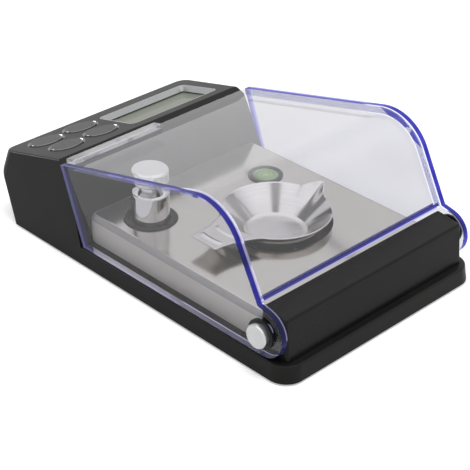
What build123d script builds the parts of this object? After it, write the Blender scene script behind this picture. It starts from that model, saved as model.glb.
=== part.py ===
"""Digital jewelry scale with a hinged clear cover, a loose two-spout pan and a calibration weight.

Millimetres. +Z is up, -Y is the display end that faces the user, +Y is the hinge end.
The origin is on the table, under the centre of the whole object.
"""
import os
from math import acos, atan2, cos, hypot, radians, sin, tan

from build123d import *

# Base: the feet lift the body a little off the table
FOOT_HEIGHT = 0.8
BASE_WIDTH = 105.0
BASE_LENGTH = 153.8
SIDE_DRAFT = 6.5
END_DRAFT = 6.0
RIM_TOP = 7.6
BASE_CORNER_RADIUS = 8.0
RIM_EDGE_RADIUS = 0.8
BODY_WALL = 2.2

# Display housing: its front end leans out over the table, and its top slopes up to the cover
OVERHANG = 11.8
CHIN_HEIGHT = 24.1
TOP_LOW_Z = 30.0
TOP_SET_BACK = 1.9
TOP_RUN = 34.8
TOP_SLOPE = 14.3
BEVEL_RUN = 4.6
BEVEL_DROP = 1.9
HOUSING_WALL_RUN = 11.7
HOUSING_CORNER_RADIUS = 5.0
HOUSING_EDGE_RADIUS = 1.0

# Bottom plate, feet and screws
BOTTOM_THICK = 2.0
FOOT_RADIUS = 4.5
FOOT_POCKET = 0.8
FOOT_EDGE = 0.3
FOOT_INSET_X = 8.3
FOOT_INSET_Y = 9.0
SCREW_RADIUS = 1.2
SCREW_HEAD_RADIUS = 2.4
SCREW_HEAD_HEIGHT = 1.3
SCREW_LENGTH = 4.6
BOSS_RADIUS = 3.2
SCREW_FROM_FRONT = 28.4
SCREW_FROM_REAR = 19.0

# Battery bay: two AAA cells side by side, over a door that slides out at the display end
CELL_RADIUS = 5.25
CELL_LENGTH = 44.5
CELL_PITCH = 11.4
CELL_GAP = 0.3
CELL_NUB_RADIUS = 1.9
CELL_NUB_LENGTH = 0.8
CELL_EDGE = 0.5
BAY_SIDE_GAP = 3.2
BAY_END_GAP = 0.6
BAY_WALL = 1.2
BAY_SET_BACK = 2.9
DOOR_LIP = 1.5
DOOR_GAP = 0.25
DOOR_LEDGE = 0.85
DOOR_LIFT = 0.15
GRIP_COUNT = 5
GRIP_PITCH = 2.0
GRIP_DEPTH = 0.3
GRIP_WIDTH = 0.9
GRIP_LENGTH = 16.0
GRIP_FROM_EDGE = 4.0
CONTACT_THICK = 0.5
LEAF_THICK = 0.4
LEAF_WIDTH = 5.0
LEAF_SPAN = 7.0
LEAF_BEND = 0.8

# Display: a bright frame with sloped walls round a glass set down in the sloped top
WINDOW_MARGIN = 10.35
WINDOW_HEIGHT = 23.7
WINDOW_TO_BUTTON = 10.95
WINDOW_FROM_LOW_EDGE = 19.1
WINDOW_CORNER = 2.6
BEZEL_DEPTH = 2.4
BEZEL_EDGE = 0.5
BEZEL_WALL_SLOPE = 24.0
BEZEL_FIT = 0.1
GLASS_LAP = 1.05
GLASS_HEIGHT = 27.0
GLASS_THICK = 1.8
GLASS_GAP = 0.5
BACKLIGHT_HEIGHT = 20.0
STRIP_WIDTH = 2.0
BOARD_DEPTH = 8.2
BOARD_THICK = 1.6
BOARD_LEFT_MARGIN = 5.9
BOARD_RIGHT_MARGIN = 9.5
BOARD_LOW = 5.0
BOARD_HIGH = 32.0
BOARD_SCREW_INSET = 1.7
BOARD_SCREW_ROWS = [8.0, 30.0]
BOARD_SCREW_TO_BUTTON = 5.2
BOARD_BOSS_RADIUS = 1.7
BOARD_SCREW_RADIUS = 0.8
BOARD_SCREW_HEAD = 1.5
BOARD_SCREW_HEAD_HEIGHT = 1.0
BOARD_SCREW_LENGTH = 5.0

# Buttons: four ovals in two rows, each over a tact switch
BUTTON_NAMES = ["button_power", "button_mode", "button_calibrate", "button_tare"]
BUTTON_FROM_SIDE = 18.1
BUTTON_PITCH = 17.7
BUTTON_ROWS = [9.6, 23.6]
BUTTON_LENGTH = 14.0
BUTTON_WIDTH = 11.2
BUTTON_PROUD = 0.4
BUTTON_EDGE = 0.35
BUTTON_GAP = 0.4
BUTTON_FLANGE = 0.8
BUTTON_FLANGE_THICK = 0.8
BUTTON_FLANGE_GAP = 0.15
BUTTON_TRAVEL = 0.6
BUTTON_STEM_RADIUS = 2.0
BUTTON_GROOVE = 0.7
BUTTON_GROOVE_DEPTH = 0.8
SWITCH_SIZE = 6.0
SWITCH_HEIGHT = 2.6
PLUNGER_RADIUS = 1.7
PLUNGER_HEIGHT = 0.5
PLUNGER_GAP = 0.15

# Steel deck cover
DECK_SIDE_MARGIN = 7.5
DECK_TUCK = 3.5
DECK_REAR_MARGIN = 19.2
DECK_TOP = 19.2
STEEL = 0.8
DECK_BEND = 2.2
DECK_CORNER = 4.0
DECK_GAP = 0.6

# Weighing dish, well and pan
PAN_X = -5.0
OPENING_RADIUS = 22.3
WELL_WALL = 1.2
WELL_DEPTH = 6.2
WELL_FLOOR = 0.8
WELL_HOLE_RADIUS = 15.5
DISH_RADIUS = 18.7
DISH_FLOOR_RADIUS = 13.2
DISH_FLOOR_Z = 14.1
DISH_RIM_Z = 19.5
PAN_FLOOR_RADIUS = 11.8
PAN_RADIUS = 22.2
PAN_DEPTH = 9.4
PAN_THICK = 0.6
PAN_REST_GAP = 0.1
SPOUT_REACH = 27.8
SPOUT_HALF_WIDTH = 7.5
SPOUT_TIP_RADIUS = 1.6
SPOUT_RISE = 2.3
SPOUT_FOOT_RADIUS = 5.0
SPOUT_START = 5.6

# Calibration weight in its cup
WEIGHT_FROM_SIDE = 15.6
WEIGHT_FROM_FRONT = 19.9
CUP_FLANGE_RADIUS = 10.7
CUP_FLANGE_THICK = 0.5
CUP_BODY_RADIUS = 9.3
CUP_FLOOR = 1.6
CUP_SINK = 1.2
CUP_CLEARANCE = 0.4
CUP_FIT = 0.2
WEIGHT_RADIUS = 7.5
WEIGHT_BODY_HEIGHT = 13.4
WEIGHT_SHOULDER = 1.3
WEIGHT_NECK_RADIUS = 4.3
WEIGHT_NECK_HEIGHT = 3.0
WEIGHT_KNOB_RADIUS = 7.3
WEIGHT_KNOB_HEIGHT = 5.5
WEIGHT_KNOB_EDGE = 1.2
WEIGHT_REST_GAP = 0.1

# Spirit level
LEVEL_FROM_SIDE = 17.6
LEVEL_FROM_FRONT = 26.1
LEVEL_FLANGE_RADIUS = 7.2
LEVEL_RADIUS = 6.2
LEVEL_HEIGHT = 5.0
LEVEL_PROUD = 0.4
LEVEL_VIAL_RADIUS = 5.4
LEVEL_FLOOR = 1.0

# Load cell in a trough of the deck, with its fixed end towards the display
BEAM_LENGTH = 56.0
BEAM_FROM_FRONT = 5.1
BEAM_WIDTH = 10.0
BEAM_HEIGHT = 6.0
BEAM_END_FREE = 7.0
BEAM_SPACER = 1.0
BEAM_SPACER_LENGTH = 16.0
BEAM_SIDE_GAP = 2.0
BEAM_BORE_RADIUS = 2.1
BEAM_BORE_PITCH = 14.0
BEAM_SLOT = 1.4
BEAM_SCREW_INSET = 4.0
BEAM_SCREW_PITCH = 7.0
BEAM_SCREW_BITE = 0.4
TROUGH_FLOOR = 1.6
CARRIER_RADIUS = 9.0
RIBBON_WIDTH = 7.0
RIBBON_THICK = 0.4
RIBBON_BEND = 3.0
RIBBON_SLOT = 2.0
RIBBON_BOARD_ROW = 30.0
RIBBON_LAP = 1.2
RIBBON_DROP = 7.0
RIBBON_RUN = 10.0

# Hinge bar and pins
BAR_TOP_REAR_MARGIN = 17.1
BAR_TOP_REAR_Z = 26.0
BAR_TOP_FRONT_MARGIN = 5.7
BAR_TOP_FRONT_Z = 24.3
BAR_FOOT_FRONT_MARGIN = 3.9
BAR_FOOT_REAR_MARGIN = 18.2
BAR_EDGE_RADIUS = 1.2
BAR_WALL = 2.4
BAR_SCREW_INSET = 15.9
BAR_SCREW_LENGTH = 9.0
HINGE_MARGIN = 13.5
HINGE_Z = 17.3
PIN_RADIUS = 2.5
PIN_RUN_FIT = 0.08
PIN_GRIP = 12.0
PIN_HEAD_RADIUS = 4.75
PIN_HEAD_LENGTH = 2.6
PIN_HEAD_EDGE = 0.8
WASHER_RADIUS = 5.9
WASHER_THICK = 0.9
WASHER_GAP = 0.15

# Clear cover
COVER_THICK = 2.8
COVER_GAP = 0.3
COVER_SIDE_MARGIN = 4.3
COVER_TO_BEVEL = 0.7
COVER_REAR_Z = 39.6
COVER_SLOPE = 13.9
COVER_BEND_MARGIN = 34.3
COVER_BEND_RADIUS = 20.0
COVER_FRONT_MARGIN = 16.2
COVER_FRONT_Z = 27.5
COVER_FOOT_GAP = 0.8
LIFT_STRIP_LENGTH = 44.3
LIFT_STRIP_WIDTH = 5.0
LIFT_STRIP_THICK = 2.0
LIFT_STRIP_INSET = 0.8
LIFT_STRIP_EDGE = 0.6

# Places worked out from the sizes above
HINGE_END = "hinge end"
DISPLAY_END = "display end"
TINY = 0.01
BODY_BOTTOM = FOOT_HEIGHT
BODY_FLOOR = BODY_BOTTOM + BOTTOM_THICK
CHIN_Y = -(BASE_LENGTH + OVERHANG) / 2
BASE_FRONT_Y = CHIN_Y + OVERHANG
BASE_REAR_Y = BASE_FRONT_Y + BASE_LENGTH
BASE_SIDE_X = BASE_WIDTH / 2
TOP_LOW_Y = CHIN_Y + TOP_SET_BACK
TOP_HIGH_Y = TOP_LOW_Y + TOP_RUN
TOP_HIGH_Z = TOP_LOW_Z + TOP_RUN * tan(radians(TOP_SLOPE))
BEVEL_Y = TOP_HIGH_Y + BEVEL_RUN
BEVEL_Z = TOP_HIGH_Z - BEVEL_DROP
HOUSING_FOOT_Y = BEVEL_Y + HOUSING_WALL_RUN
DECK_UNDER = DECK_TOP - STEEL
DECK_SIDE_X = BASE_SIDE_X - DECK_SIDE_MARGIN
DECK_FRONT_Y = HOUSING_FOOT_Y - DECK_TUCK
DECK_REAR_Y = BASE_REAR_Y - DECK_REAR_MARGIN
TOP_PLANE = Plane(
    origin=(0, TOP_LOW_Y, TOP_LOW_Z),
    x_dir=(1, 0, 0),
    z_dir=(0, -sin(radians(TOP_SLOPE)), cos(radians(TOP_SLOPE))),
)
BUTTON_X = BASE_SIDE_X - BUTTON_FROM_SIDE
BUTTON_INNER_X = BUTTON_X - BUTTON_PITCH
BUTTON_PLACES = [(x, row) for row in BUTTON_ROWS for x in (BUTTON_X, BUTTON_INNER_X)]
WINDOW_LEFT = -BASE_SIDE_X + WINDOW_MARGIN
WINDOW_RIGHT = BUTTON_INNER_X - WINDOW_TO_BUTTON
WINDOW_WIDTH = WINDOW_RIGHT - WINDOW_LEFT
WINDOW_X = (WINDOW_LEFT + WINDOW_RIGHT) / 2
GLASS_WIDTH = WINDOW_WIDTH + 2 * GLASS_LAP
BOARD_LEFT = -BASE_SIDE_X + BOARD_LEFT_MARGIN
BOARD_RIGHT = BASE_SIDE_X - BOARD_RIGHT_MARGIN
BUTTON_MID_ROW = sum(BUTTON_ROWS) / len(BUTTON_ROWS)
BOARD_SCREWS = [(BOARD_LEFT + BOARD_SCREW_INSET, row) for row in BOARD_SCREW_ROWS] + [
    (BUTTON_INNER_X - BOARD_SCREW_TO_BUTTON, BUTTON_MID_ROW),
    ((BUTTON_INNER_X + BUTTON_X) / 2, BUTTON_MID_ROW),
]
CELL_Y = BASE_FRONT_Y + BAY_SET_BACK + BAY_END_GAP + CELL_RADIUS
CELL_Z = BODY_FLOOR + CELL_GAP + CELL_RADIUS
BAY_HALF_X = CELL_LENGTH / 2 + BAY_SIDE_GAP
BAY_Y0 = BASE_FRONT_Y + BAY_SET_BACK
BAY_Y1 = CELL_Y + CELL_PITCH + CELL_RADIUS + BAY_END_GAP
BAY_TOP = CELL_Z + CELL_RADIUS + CELL_GAP
TROUGH_Z = BODY_FLOOR + TROUGH_FLOOR
BEAM_Z = TROUGH_Z + BEAM_SPACER
BEAM_TOP = BEAM_Z + BEAM_HEIGHT
BEAM_Y0 = DECK_FRONT_Y + BEAM_FROM_FRONT
BEAM_Y1 = BEAM_Y0 + BEAM_LENGTH
PAN_Y = BEAM_Y1 - BEAM_END_FREE
WEIGHT_X = DECK_SIDE_X - WEIGHT_FROM_SIDE
WEIGHT_Y = DECK_FRONT_Y + WEIGHT_FROM_FRONT
LEVEL_X = -DECK_SIDE_X + LEVEL_FROM_SIDE
LEVEL_Y = DECK_FRONT_Y + LEVEL_FROM_FRONT
HINGE_Y = BASE_REAR_Y - HINGE_MARGIN
COVER_INNER_X = BASE_SIDE_X - COVER_SIDE_MARGIN
COVER_OUTER_X = COVER_INNER_X + COVER_THICK
COVER_REAR_Y = BEVEL_Y + COVER_TO_BEVEL
COVER_REAR_FOOT_Y = HOUSING_FOOT_Y + COVER_FOOT_GAP
COVER_BEND_Y = BASE_REAR_Y - COVER_BEND_MARGIN
COVER_FRONT_Y = BASE_REAR_Y - COVER_FRONT_MARGIN
COVER_FOOT_Z = RIM_TOP + COVER_GAP
BAR_END_X = COVER_INNER_X - COVER_GAP
BAR_SCREW_X = [BAR_SCREW_INSET - BAR_END_X, 0, BAR_END_X - BAR_SCREW_INSET]
BAR_FOOT_REAR_Y = BASE_REAR_Y - BAR_FOOT_REAR_MARGIN
BAR_FOOT_FRONT_Y = BASE_REAR_Y - BAR_FOOT_FRONT_MARGIN
BAR_TOP_REAR_Y = BASE_REAR_Y - BAR_TOP_REAR_MARGIN
BAR_TOP_FRONT_Y = BASE_REAR_Y - BAR_TOP_FRONT_MARGIN


def block(x0, x1, y0, y1, z0, z1):
    """A box between two corners."""
    return Pos((x0 + x1) / 2, (y0 + y1) / 2, (z0 + z1) / 2) * Box(x1 - x0, y1 - y0, z1 - z0)


def rod(x, y, z0, z1, radius):
    """An upright cylinder between two heights."""
    return Pos(x, y, (z0 + z1) / 2) * Cylinder(radius, z1 - z0)


def yz_prism(face, x0, x1):
    """A face drawn in the YZ plane, extruded between two X places."""
    return Pos(x0, 0, 0) * extrude(Plane.YZ * face, x1 - x0)


def polygon(*points):
    return make_face(Polyline(*points, close=True))


def round_corner(face, point, radius):
    """Round the corner of a flat face that lies nearest to a point."""
    corner = face.vertices().sort_by_distance(Vector(*point, 0))[:1]
    return fillet(corner, radius)


def side_profile(bottom):
    """The body seen from the side: chin, sloped top, bevel, housing wall, deck and far end."""
    chin_lean = OVERHANG / (CHIN_HEIGHT - BODY_BOTTOM)
    end_lean = tan(radians(END_DRAFT))
    return polygon(
        (BASE_FRONT_Y - (bottom - BODY_BOTTOM) * chin_lean, bottom),
        (CHIN_Y, CHIN_HEIGHT),
        (TOP_LOW_Y, TOP_LOW_Z),
        (TOP_HIGH_Y, TOP_HIGH_Z),
        (BEVEL_Y, BEVEL_Z),
        (HOUSING_FOOT_Y, RIM_TOP),
        (BASE_REAR_Y - (RIM_TOP - BODY_BOTTOM) * end_lean, RIM_TOP),
        (BASE_REAR_Y - (bottom - BODY_BOTTOM) * end_lean, bottom),
    )


def end_profile(bottom):
    """The body seen from the end: a trapezoid, because the sides lean in."""
    lean = tan(radians(SIDE_DRAFT))
    top = TOP_HIGH_Z + BODY_WALL
    low = BASE_SIDE_X - (bottom - BODY_BOTTOM) * lean
    high = BASE_SIDE_X - (top - BODY_BOTTOM) * lean
    return polygon((-low, bottom), (low, bottom), (high, top), (-high, top))


def body_envelope(bottom, inset):
    """The body's outer form, or its inside when an inset is given."""
    side = side_profile(bottom)
    end = end_profile(bottom)
    if inset:
        side = offset(side, -inset, kind=Kind.INTERSECTION)
        end = offset(end, -inset, kind=Kind.INTERSECTION)
    long_way = yz_prism(side, -BASE_WIDTH, BASE_WIDTH)
    cross_way = extrude(Plane.XZ * end, BASE_LENGTH, both=True)
    return long_way & cross_way


def rounded_envelope():
    """The outer form with its upright corners, sloped top and rim rounded."""
    solid = body_envelope(BODY_BOTTOM, 0)
    solid = fillet(upright_edges(solid, HINGE_END), BASE_CORNER_RADIUS)
    solid = fillet(upright_edges(solid, DISPLAY_END), HOUSING_CORNER_RADIUS)
    slope = solid.faces().sort_by(lambda f: f.normal_at().dot(TOP_PLANE.z_dir))[-1]
    solid = fillet(slope.edges(), HOUSING_EDGE_RADIUS)
    rim = solid.faces().filter_by(lambda f: abs(f.center().Z - RIM_TOP) < TINY)
    outer = [e for e in rim[0].edges() if abs(e.center().X) > TINY or e.center().Y > 0]
    return fillet(outer, RIM_EDGE_RADIUS)


def upright_edges(solid, end):
    """The edges at the corners of one end that run up the body."""
    found = []
    for edge in solid.edges():
        middle = edge.center()
        rises = edge.bounding_box().size.Z > TINY
        at_side = abs(middle.X) > BASE_SIDE_X - BASE_CORNER_RADIUS
        if end == HINGE_END:
            at_end = middle.Y > BASE_REAR_Y - BASE_CORNER_RADIUS
        else:
            at_end = middle.Y < TOP_LOW_Y
        if rises and at_side and at_end:
            found.append(edge)
    return found


def top_block(x, row, width, height, z0, z1):
    """A box set square to the sloped top, between two depths under it."""
    return TOP_PLANE * (Pos(x, row, (z0 + z1) / 2) * Box(width, height, z1 - z0))


def top_rod(x, row, z0, z1, radius):
    """A cylinder square to the sloped top."""
    return TOP_PLANE * (Pos(x, row, (z0 + z1) / 2) * Cylinder(radius, z1 - z0))


def top_oval(x, row, z0, z1, grow):
    """A button's oval, made larger all round, between two depths under the sloped top."""
    oval = Ellipse(BUTTON_LENGTH / 2 + grow, BUTTON_WIDTH / 2 + grow)
    return TOP_PLANE * (Pos(x, row, z0) * extrude(oval, z1 - z0))


def button_groove(x, row):
    """The sloped groove round a button: wide at the sloped top and narrow where the gap begins."""
    low, high = BUTTON_GAP, BUTTON_GAP + BUTTON_GROOVE
    ovals = [
        Pos(x, row, z) * Ellipse(BUTTON_LENGTH / 2 + grow, BUTTON_WIDTH / 2 + grow)
        for z, grow in ((-BUTTON_GROOVE_DEPTH, low), (0, high))
    ]
    return TOP_PLANE * loft(ovals, ruled=True)


def window(grow, z0, z1):
    """The display window's rounded rectangle as a solid."""
    shape = RectangleRounded(WINDOW_WIDTH + 2 * grow, WINDOW_HEIGHT + 2 * grow, WINDOW_CORNER + grow)
    return TOP_PLANE * (Pos(WINDOW_X, WINDOW_FROM_LOW_EDGE, z0) * extrude(shape, z1 - z0))


def screw_places():
    side = BASE_SIDE_X - FOOT_INSET_X
    rows = (BASE_FRONT_Y + SCREW_FROM_FRONT, BASE_REAR_Y - SCREW_FROM_REAR)
    return [(x, y) for x in (-side, side) for y in rows]


def foot_places():
    side = BASE_SIDE_X - FOOT_INSET_X
    ends = (BASE_FRONT_Y + FOOT_INSET_Y, BASE_REAR_Y - FOOT_INSET_Y)
    return [(x, y) for x in (-side, side) for y in ends]


def countersunk_screw(x, y, z, length):
    """A flat-headed screw pointing up, its head's face at the given height."""
    head = Pos(x, y, z + SCREW_HEAD_HEIGHT / 2) * Cone(SCREW_HEAD_RADIUS, SCREW_RADIUS, SCREW_HEAD_HEIGHT)
    return head + rod(x, y, z + SCREW_HEAD_HEIGHT, z + length, SCREW_RADIUS)


def bottom_screw(place):
    return countersunk_screw(*place, BODY_BOTTOM, SCREW_LENGTH)


def bar_screws():
    """Screws from under the deck into the hinge bar."""
    y = (BAR_FOOT_REAR_Y + BAR_FOOT_FRONT_Y) / 2
    z = RIM_TOP - BODY_WALL
    screws = []
    for x in BAR_SCREW_X:
        head = rod(x, y, z - SCREW_HEAD_HEIGHT, z, SCREW_HEAD_RADIUS)
        screws.append(head + rod(x, y, z, z + BAR_SCREW_LENGTH, SCREW_RADIUS))
    return screws


def beam_screws():
    """Fixed-end screws through the beam and its spacer into the trough's floor."""
    first = BEAM_Y0 + BEAM_SCREW_INSET
    screws = []
    for y in (first, first + BEAM_SCREW_PITCH):
        head = rod(PAN_X, y, BEAM_TOP, BEAM_TOP + SCREW_HEAD_HEIGHT, SCREW_HEAD_RADIUS)
        screws.append(head + rod(PAN_X, y, BODY_FLOOR + BEAM_SCREW_BITE, BEAM_TOP, SCREW_RADIUS))
    return screws


def carrier_screws():
    """Countersunk screws down through the carrier into the beam's free end."""
    top = DISH_FLOOR_Z - STEEL
    cone = Cone(SCREW_RADIUS, SCREW_HEAD_RADIUS, SCREW_HEAD_HEIGHT)
    screws = []
    for y in (PAN_Y - BEAM_SCREW_PITCH / 2, PAN_Y + BEAM_SCREW_PITCH / 2):
        shank = rod(PAN_X, y, top - SCREW_LENGTH, top - SCREW_HEAD_HEIGHT, SCREW_RADIUS)
        screws.append(shank + Pos(PAN_X, y, top - SCREW_HEAD_HEIGHT / 2) * cone)
    return screws


def board_screws():
    z = -BOARD_DEPTH - BOARD_THICK
    return [
        top_rod(x, row, z, z + BOARD_SCREW_LENGTH, BOARD_SCREW_RADIUS)
        + top_rod(x, row, z - BOARD_SCREW_HEAD_HEIGHT, z, BOARD_SCREW_HEAD)
        for x, row in BOARD_SCREWS
    ]


def trough(grow, z0, z1):
    """The well in the deck that the load cell lies in."""
    side = BEAM_WIDTH / 2 + BEAM_SIDE_GAP + grow
    y0 = BEAM_Y0 - BEAM_SIDE_GAP - grow
    y1 = BEAM_Y1 + BEAM_SIDE_GAP + grow
    return block(PAN_X - side, PAN_X + side, y0, y1, z0, z1)


def ribbon_face(width):
    """The ribbon's route from the beam, through the housing wall, to the board, as a thick line."""
    z = BEAM_TOP + RIBBON_THICK / 2
    board_end = TOP_PLANE.from_local_coords(Vector(0, RIBBON_BOARD_ROW, -BOARD_DEPTH - BOARD_THICK))
    turn = TOP_PLANE.from_local_coords(Vector(0, RIBBON_BOARD_ROW, -BOARD_DEPTH - BOARD_THICK - RIBBON_DROP))
    start = (BEAM_Y0 + RIBBON_LAP, z)
    corners = [start, (turn.Y + RIBBON_RUN, z), (turn.Y, turn.Z), (board_end.Y, board_end.Z)]
    path = FilletPolyline(*corners, radius=RIBBON_BEND)
    return trace(path, width)


def ribbon():
    half = RIBBON_WIDTH / 2
    return yz_prism(ribbon_face(RIBBON_THICK), PAN_X - half, PAN_X + half)


def ribbon_slot():
    half = RIBBON_WIDTH / 2 + BEAM_SIDE_GAP
    return yz_prism(ribbon_face(RIBBON_SLOT), PAN_X - half, PAN_X + half)


def deck_recess(grow):
    """The step in the housing's foot that the steel deck's end fits into."""
    side = DECK_SIDE_X + DECK_GAP + grow
    y0 = DECK_FRONT_Y - DECK_GAP - grow
    return block(-side, side, y0, HOUSING_FOOT_Y + DECK_GAP, RIM_TOP - grow, DECK_TOP + DECK_GAP + grow)


def main_body(envelope):
    """The black moulding: housing shell, deck, rim, bosses and the load cell's trough."""
    big = BASE_LENGTH
    body = envelope - block(-big, big, -big, big, 0, BODY_FLOOR)
    inside = body_envelope(BODY_BOTTOM - BODY_WALL * 2, BODY_WALL)
    body = body - fillet(upright_edges(inside, HINGE_END), BASE_CORNER_RADIUS - BODY_WALL)
    mid_wall = body_envelope(BODY_BOTTOM - BODY_WALL * 2, BODY_WALL / 2)
    body = body + (deck_recess(BODY_WALL) & mid_wall) - deck_recess(0)
    for x, y in screw_places():
        body = body + (rod(x, y, BODY_FLOOR, TOP_HIGH_Z, BOSS_RADIUS) & mid_wall)
    body = body + trough(TROUGH_FLOOR, BODY_FLOOR, RIM_TOP - BODY_WALL / 2)
    body = body - trough(0, TROUGH_Z, RIM_TOP + BODY_WALL * 2)
    for x, row in BOARD_SCREWS:
        body = body + top_rod(x, row, -BOARD_DEPTH, -BODY_WALL / 2, BOARD_BOSS_RADIUS)
    body = body - window(BEZEL_FIT, -BODY_WALL * 2, BODY_WALL)
    for x, row in BUTTON_PLACES:
        body = body - top_oval(x, row, -BODY_WALL * 2, BODY_WALL, BUTTON_GAP)
        body = body - button_groove(x, row)
    body = body - ribbon_slot()
    bottom = [bottom_screw(place) for place in screw_places()]
    for screw in bottom + bar_screws() + beam_screws() + board_screws():
        body = body - screw
    return body


def bottom_plate(envelope):
    """The floor of the scale, with the battery bay standing on it."""
    big = BASE_LENGTH
    plate = envelope & block(-big, big, -big, big, 0, BODY_FLOOR)
    side = BAY_HALF_X + BAY_WALL
    plate = plate + block(-side, side, BAY_Y0 - BAY_WALL, BAY_Y1 + BAY_WALL, BODY_FLOOR, BAY_TOP + BAY_WALL)
    plate = plate - block(-BAY_HALF_X, BAY_HALF_X, BAY_Y0, BAY_Y1, BODY_BOTTOM + DOOR_LEDGE, BAY_TOP)
    door_half = BAY_HALF_X - DOOR_LIP
    low_y = BASE_FRONT_Y - OVERHANG
    plate = plate - block(-door_half, door_half, low_y, BAY_Y1, 0, BODY_FLOOR)
    plate = plate - block(-BAY_HALF_X, BAY_HALF_X, low_y, BAY_Y1, BODY_BOTTOM + DOOR_LEDGE, BODY_FLOOR)
    for x, y in foot_places():
        plate = plate - rod(x, y, 0, BODY_BOTTOM + FOOT_POCKET, FOOT_RADIUS)
    for place in screw_places():
        plate = plate - bottom_screw(place)
    return plate


def battery_door(envelope):
    """A flat slide with a lip along each side and finger grooves underneath."""
    low_y = BASE_FRONT_Y - OVERHANG
    end = BAY_Y1 - DOOR_GAP
    face_half = BAY_HALF_X - DOOR_LIP - DOOR_GAP
    lip_half = BAY_HALF_X - DOOR_GAP
    lip_z = BODY_BOTTOM + DOOR_LEDGE + DOOR_LIFT
    top = BODY_FLOOR - DOOR_GAP
    door = block(-face_half, face_half, low_y, end, BODY_BOTTOM, lip_z)
    door = door + block(-lip_half, lip_half, low_y, end, lip_z, top)
    door = door & envelope
    first = BASE_FRONT_Y + GRIP_FROM_EDGE
    for index in range(GRIP_COUNT):
        y = first + index * GRIP_PITCH
        door = door - block(-GRIP_LENGTH / 2, GRIP_LENGTH / 2, y, y + GRIP_WIDTH, 0, BODY_BOTTOM + GRIP_DEPTH)
    return door


def batteries():
    """Two cells side by side, pointing opposite ways."""
    cells = []
    for index, way in enumerate((1, -1)):
        y = CELL_Y + index * CELL_PITCH
        can = Pos(0, y, CELL_Z) * Rot(0, 90, 0) * Cylinder(CELL_RADIUS, CELL_LENGTH - 2 * CELL_NUB_LENGTH)
        can = fillet(can.edges(), CELL_EDGE)
        nub_x = way * (CELL_LENGTH / 2 - CELL_NUB_LENGTH / 2)
        nub = Pos(nub_x, y, CELL_Z) * Rot(0, 90, 0) * Cylinder(CELL_NUB_RADIUS, CELL_NUB_LENGTH)
        cells.append(can + nub)
    return cells


def battery_contacts():
    """A plate at each end of each cell: a nose for the cell's nub, a bowed leaf for its flat end."""
    width = 2 * (CELL_RADIUS - CELL_EDGE)
    reach = BAY_HALF_X - CONTACT_THICK - CELL_LENGTH / 2
    pieces = []
    for index, way in enumerate((1, -1)):
        y = CELL_Y + index * CELL_PITCH
        for side in (1, -1):
            face_x = side * (BAY_HALF_X - CONTACT_THICK)
            plate = Pos(face_x + side * CONTACT_THICK / 2, y, CELL_Z) * Box(CONTACT_THICK, width, width)
            if side == way:
                nose = Rot(0, -90 * side, 0) * Cone(CELL_NUB_RADIUS, CELL_NUB_RADIUS / 2, reach)
                pieces.append(plate + Pos(face_x - side * reach / 2, y, CELL_Z) * nose)
            else:
                pieces.append(plate + contact_leaf(face_x, y, -side, reach + CELL_NUB_LENGTH))
    return pieces


def contact_leaf(x, y, way, length):
    """A spring strip that bows out from its plate to press on a cell."""
    high = LEAF_SPAN / 2
    out = length - LEAF_THICK / 2
    line = FilletPolyline((0, -high), (out, -high / 2), (out, high / 2), (0, high), radius=LEAF_BEND)
    strip = extrude(Plane.XZ * trace(line, LEAF_THICK), LEAF_WIDTH / 2, both=True)
    return Pos(x, y, CELL_Z) * mirrored(strip, way)


def rubber_feet():
    return [
        fillet(rod(x, y, 0, BODY_BOTTOM + FOOT_POCKET, FOOT_RADIUS).edges().group_by(Axis.Z)[0], FOOT_EDGE)
        for x, y in foot_places()
    ]


def lcd_bezel():
    """The bright frame, its walls sloping in to the glass."""
    outer = window(0, -BEZEL_DEPTH, 0)
    width = WINDOW_WIDTH - 2 * BEZEL_EDGE
    height = WINDOW_HEIGHT - 2 * BEZEL_EDGE
    mouth = RectangleRounded(width, height, WINDOW_CORNER - BEZEL_EDGE)
    well = extrude(mouth, -BEZEL_DEPTH, taper=BEZEL_WALL_SLOPE)
    return outer - TOP_PLANE * (Pos(WINDOW_X, WINDOW_FROM_LOW_EDGE, 0) * well)


def lcd_glass():
    z = -BEZEL_DEPTH - GLASS_GAP
    return top_block(WINDOW_X, WINDOW_FROM_LOW_EDGE, GLASS_WIDTH, GLASS_HEIGHT, z - GLASS_THICK, z)


def lcd_backlight():
    z = -BEZEL_DEPTH - GLASS_GAP - GLASS_THICK
    return top_block(WINDOW_X, WINDOW_FROM_LOW_EDGE, GLASS_WIDTH, BACKLIGHT_HEIGHT, -BOARD_DEPTH, z)


def lcd_connector_strips():
    z = -BEZEL_DEPTH - GLASS_GAP - GLASS_THICK
    away = BACKLIGHT_HEIGHT / 2 + STRIP_WIDTH
    rows = (WINDOW_FROM_LOW_EDGE - away, WINDOW_FROM_LOW_EDGE + away)
    return [top_block(WINDOW_X, row, GLASS_WIDTH - STRIP_WIDTH, STRIP_WIDTH, -BOARD_DEPTH, z) for row in rows]


def main_board():
    board = top_block(
        (BOARD_LEFT + BOARD_RIGHT) / 2, (BOARD_LOW + BOARD_HIGH) / 2,
        BOARD_RIGHT - BOARD_LEFT, BOARD_HIGH - BOARD_LOW, -BOARD_DEPTH - BOARD_THICK, -BOARD_DEPTH,
    )
    for screw in board_screws():
        board = board - screw
    return board


def tact_switches():
    base = -BOARD_DEPTH
    top = base + SWITCH_HEIGHT
    switches = []
    for x, row in BUTTON_PLACES:
        can = top_block(x, row, SWITCH_SIZE, SWITCH_SIZE, base, top)
        switches.append(can + top_rod(x, row, top, top + PLUNGER_HEIGHT, PLUNGER_RADIUS))
    return switches


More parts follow.
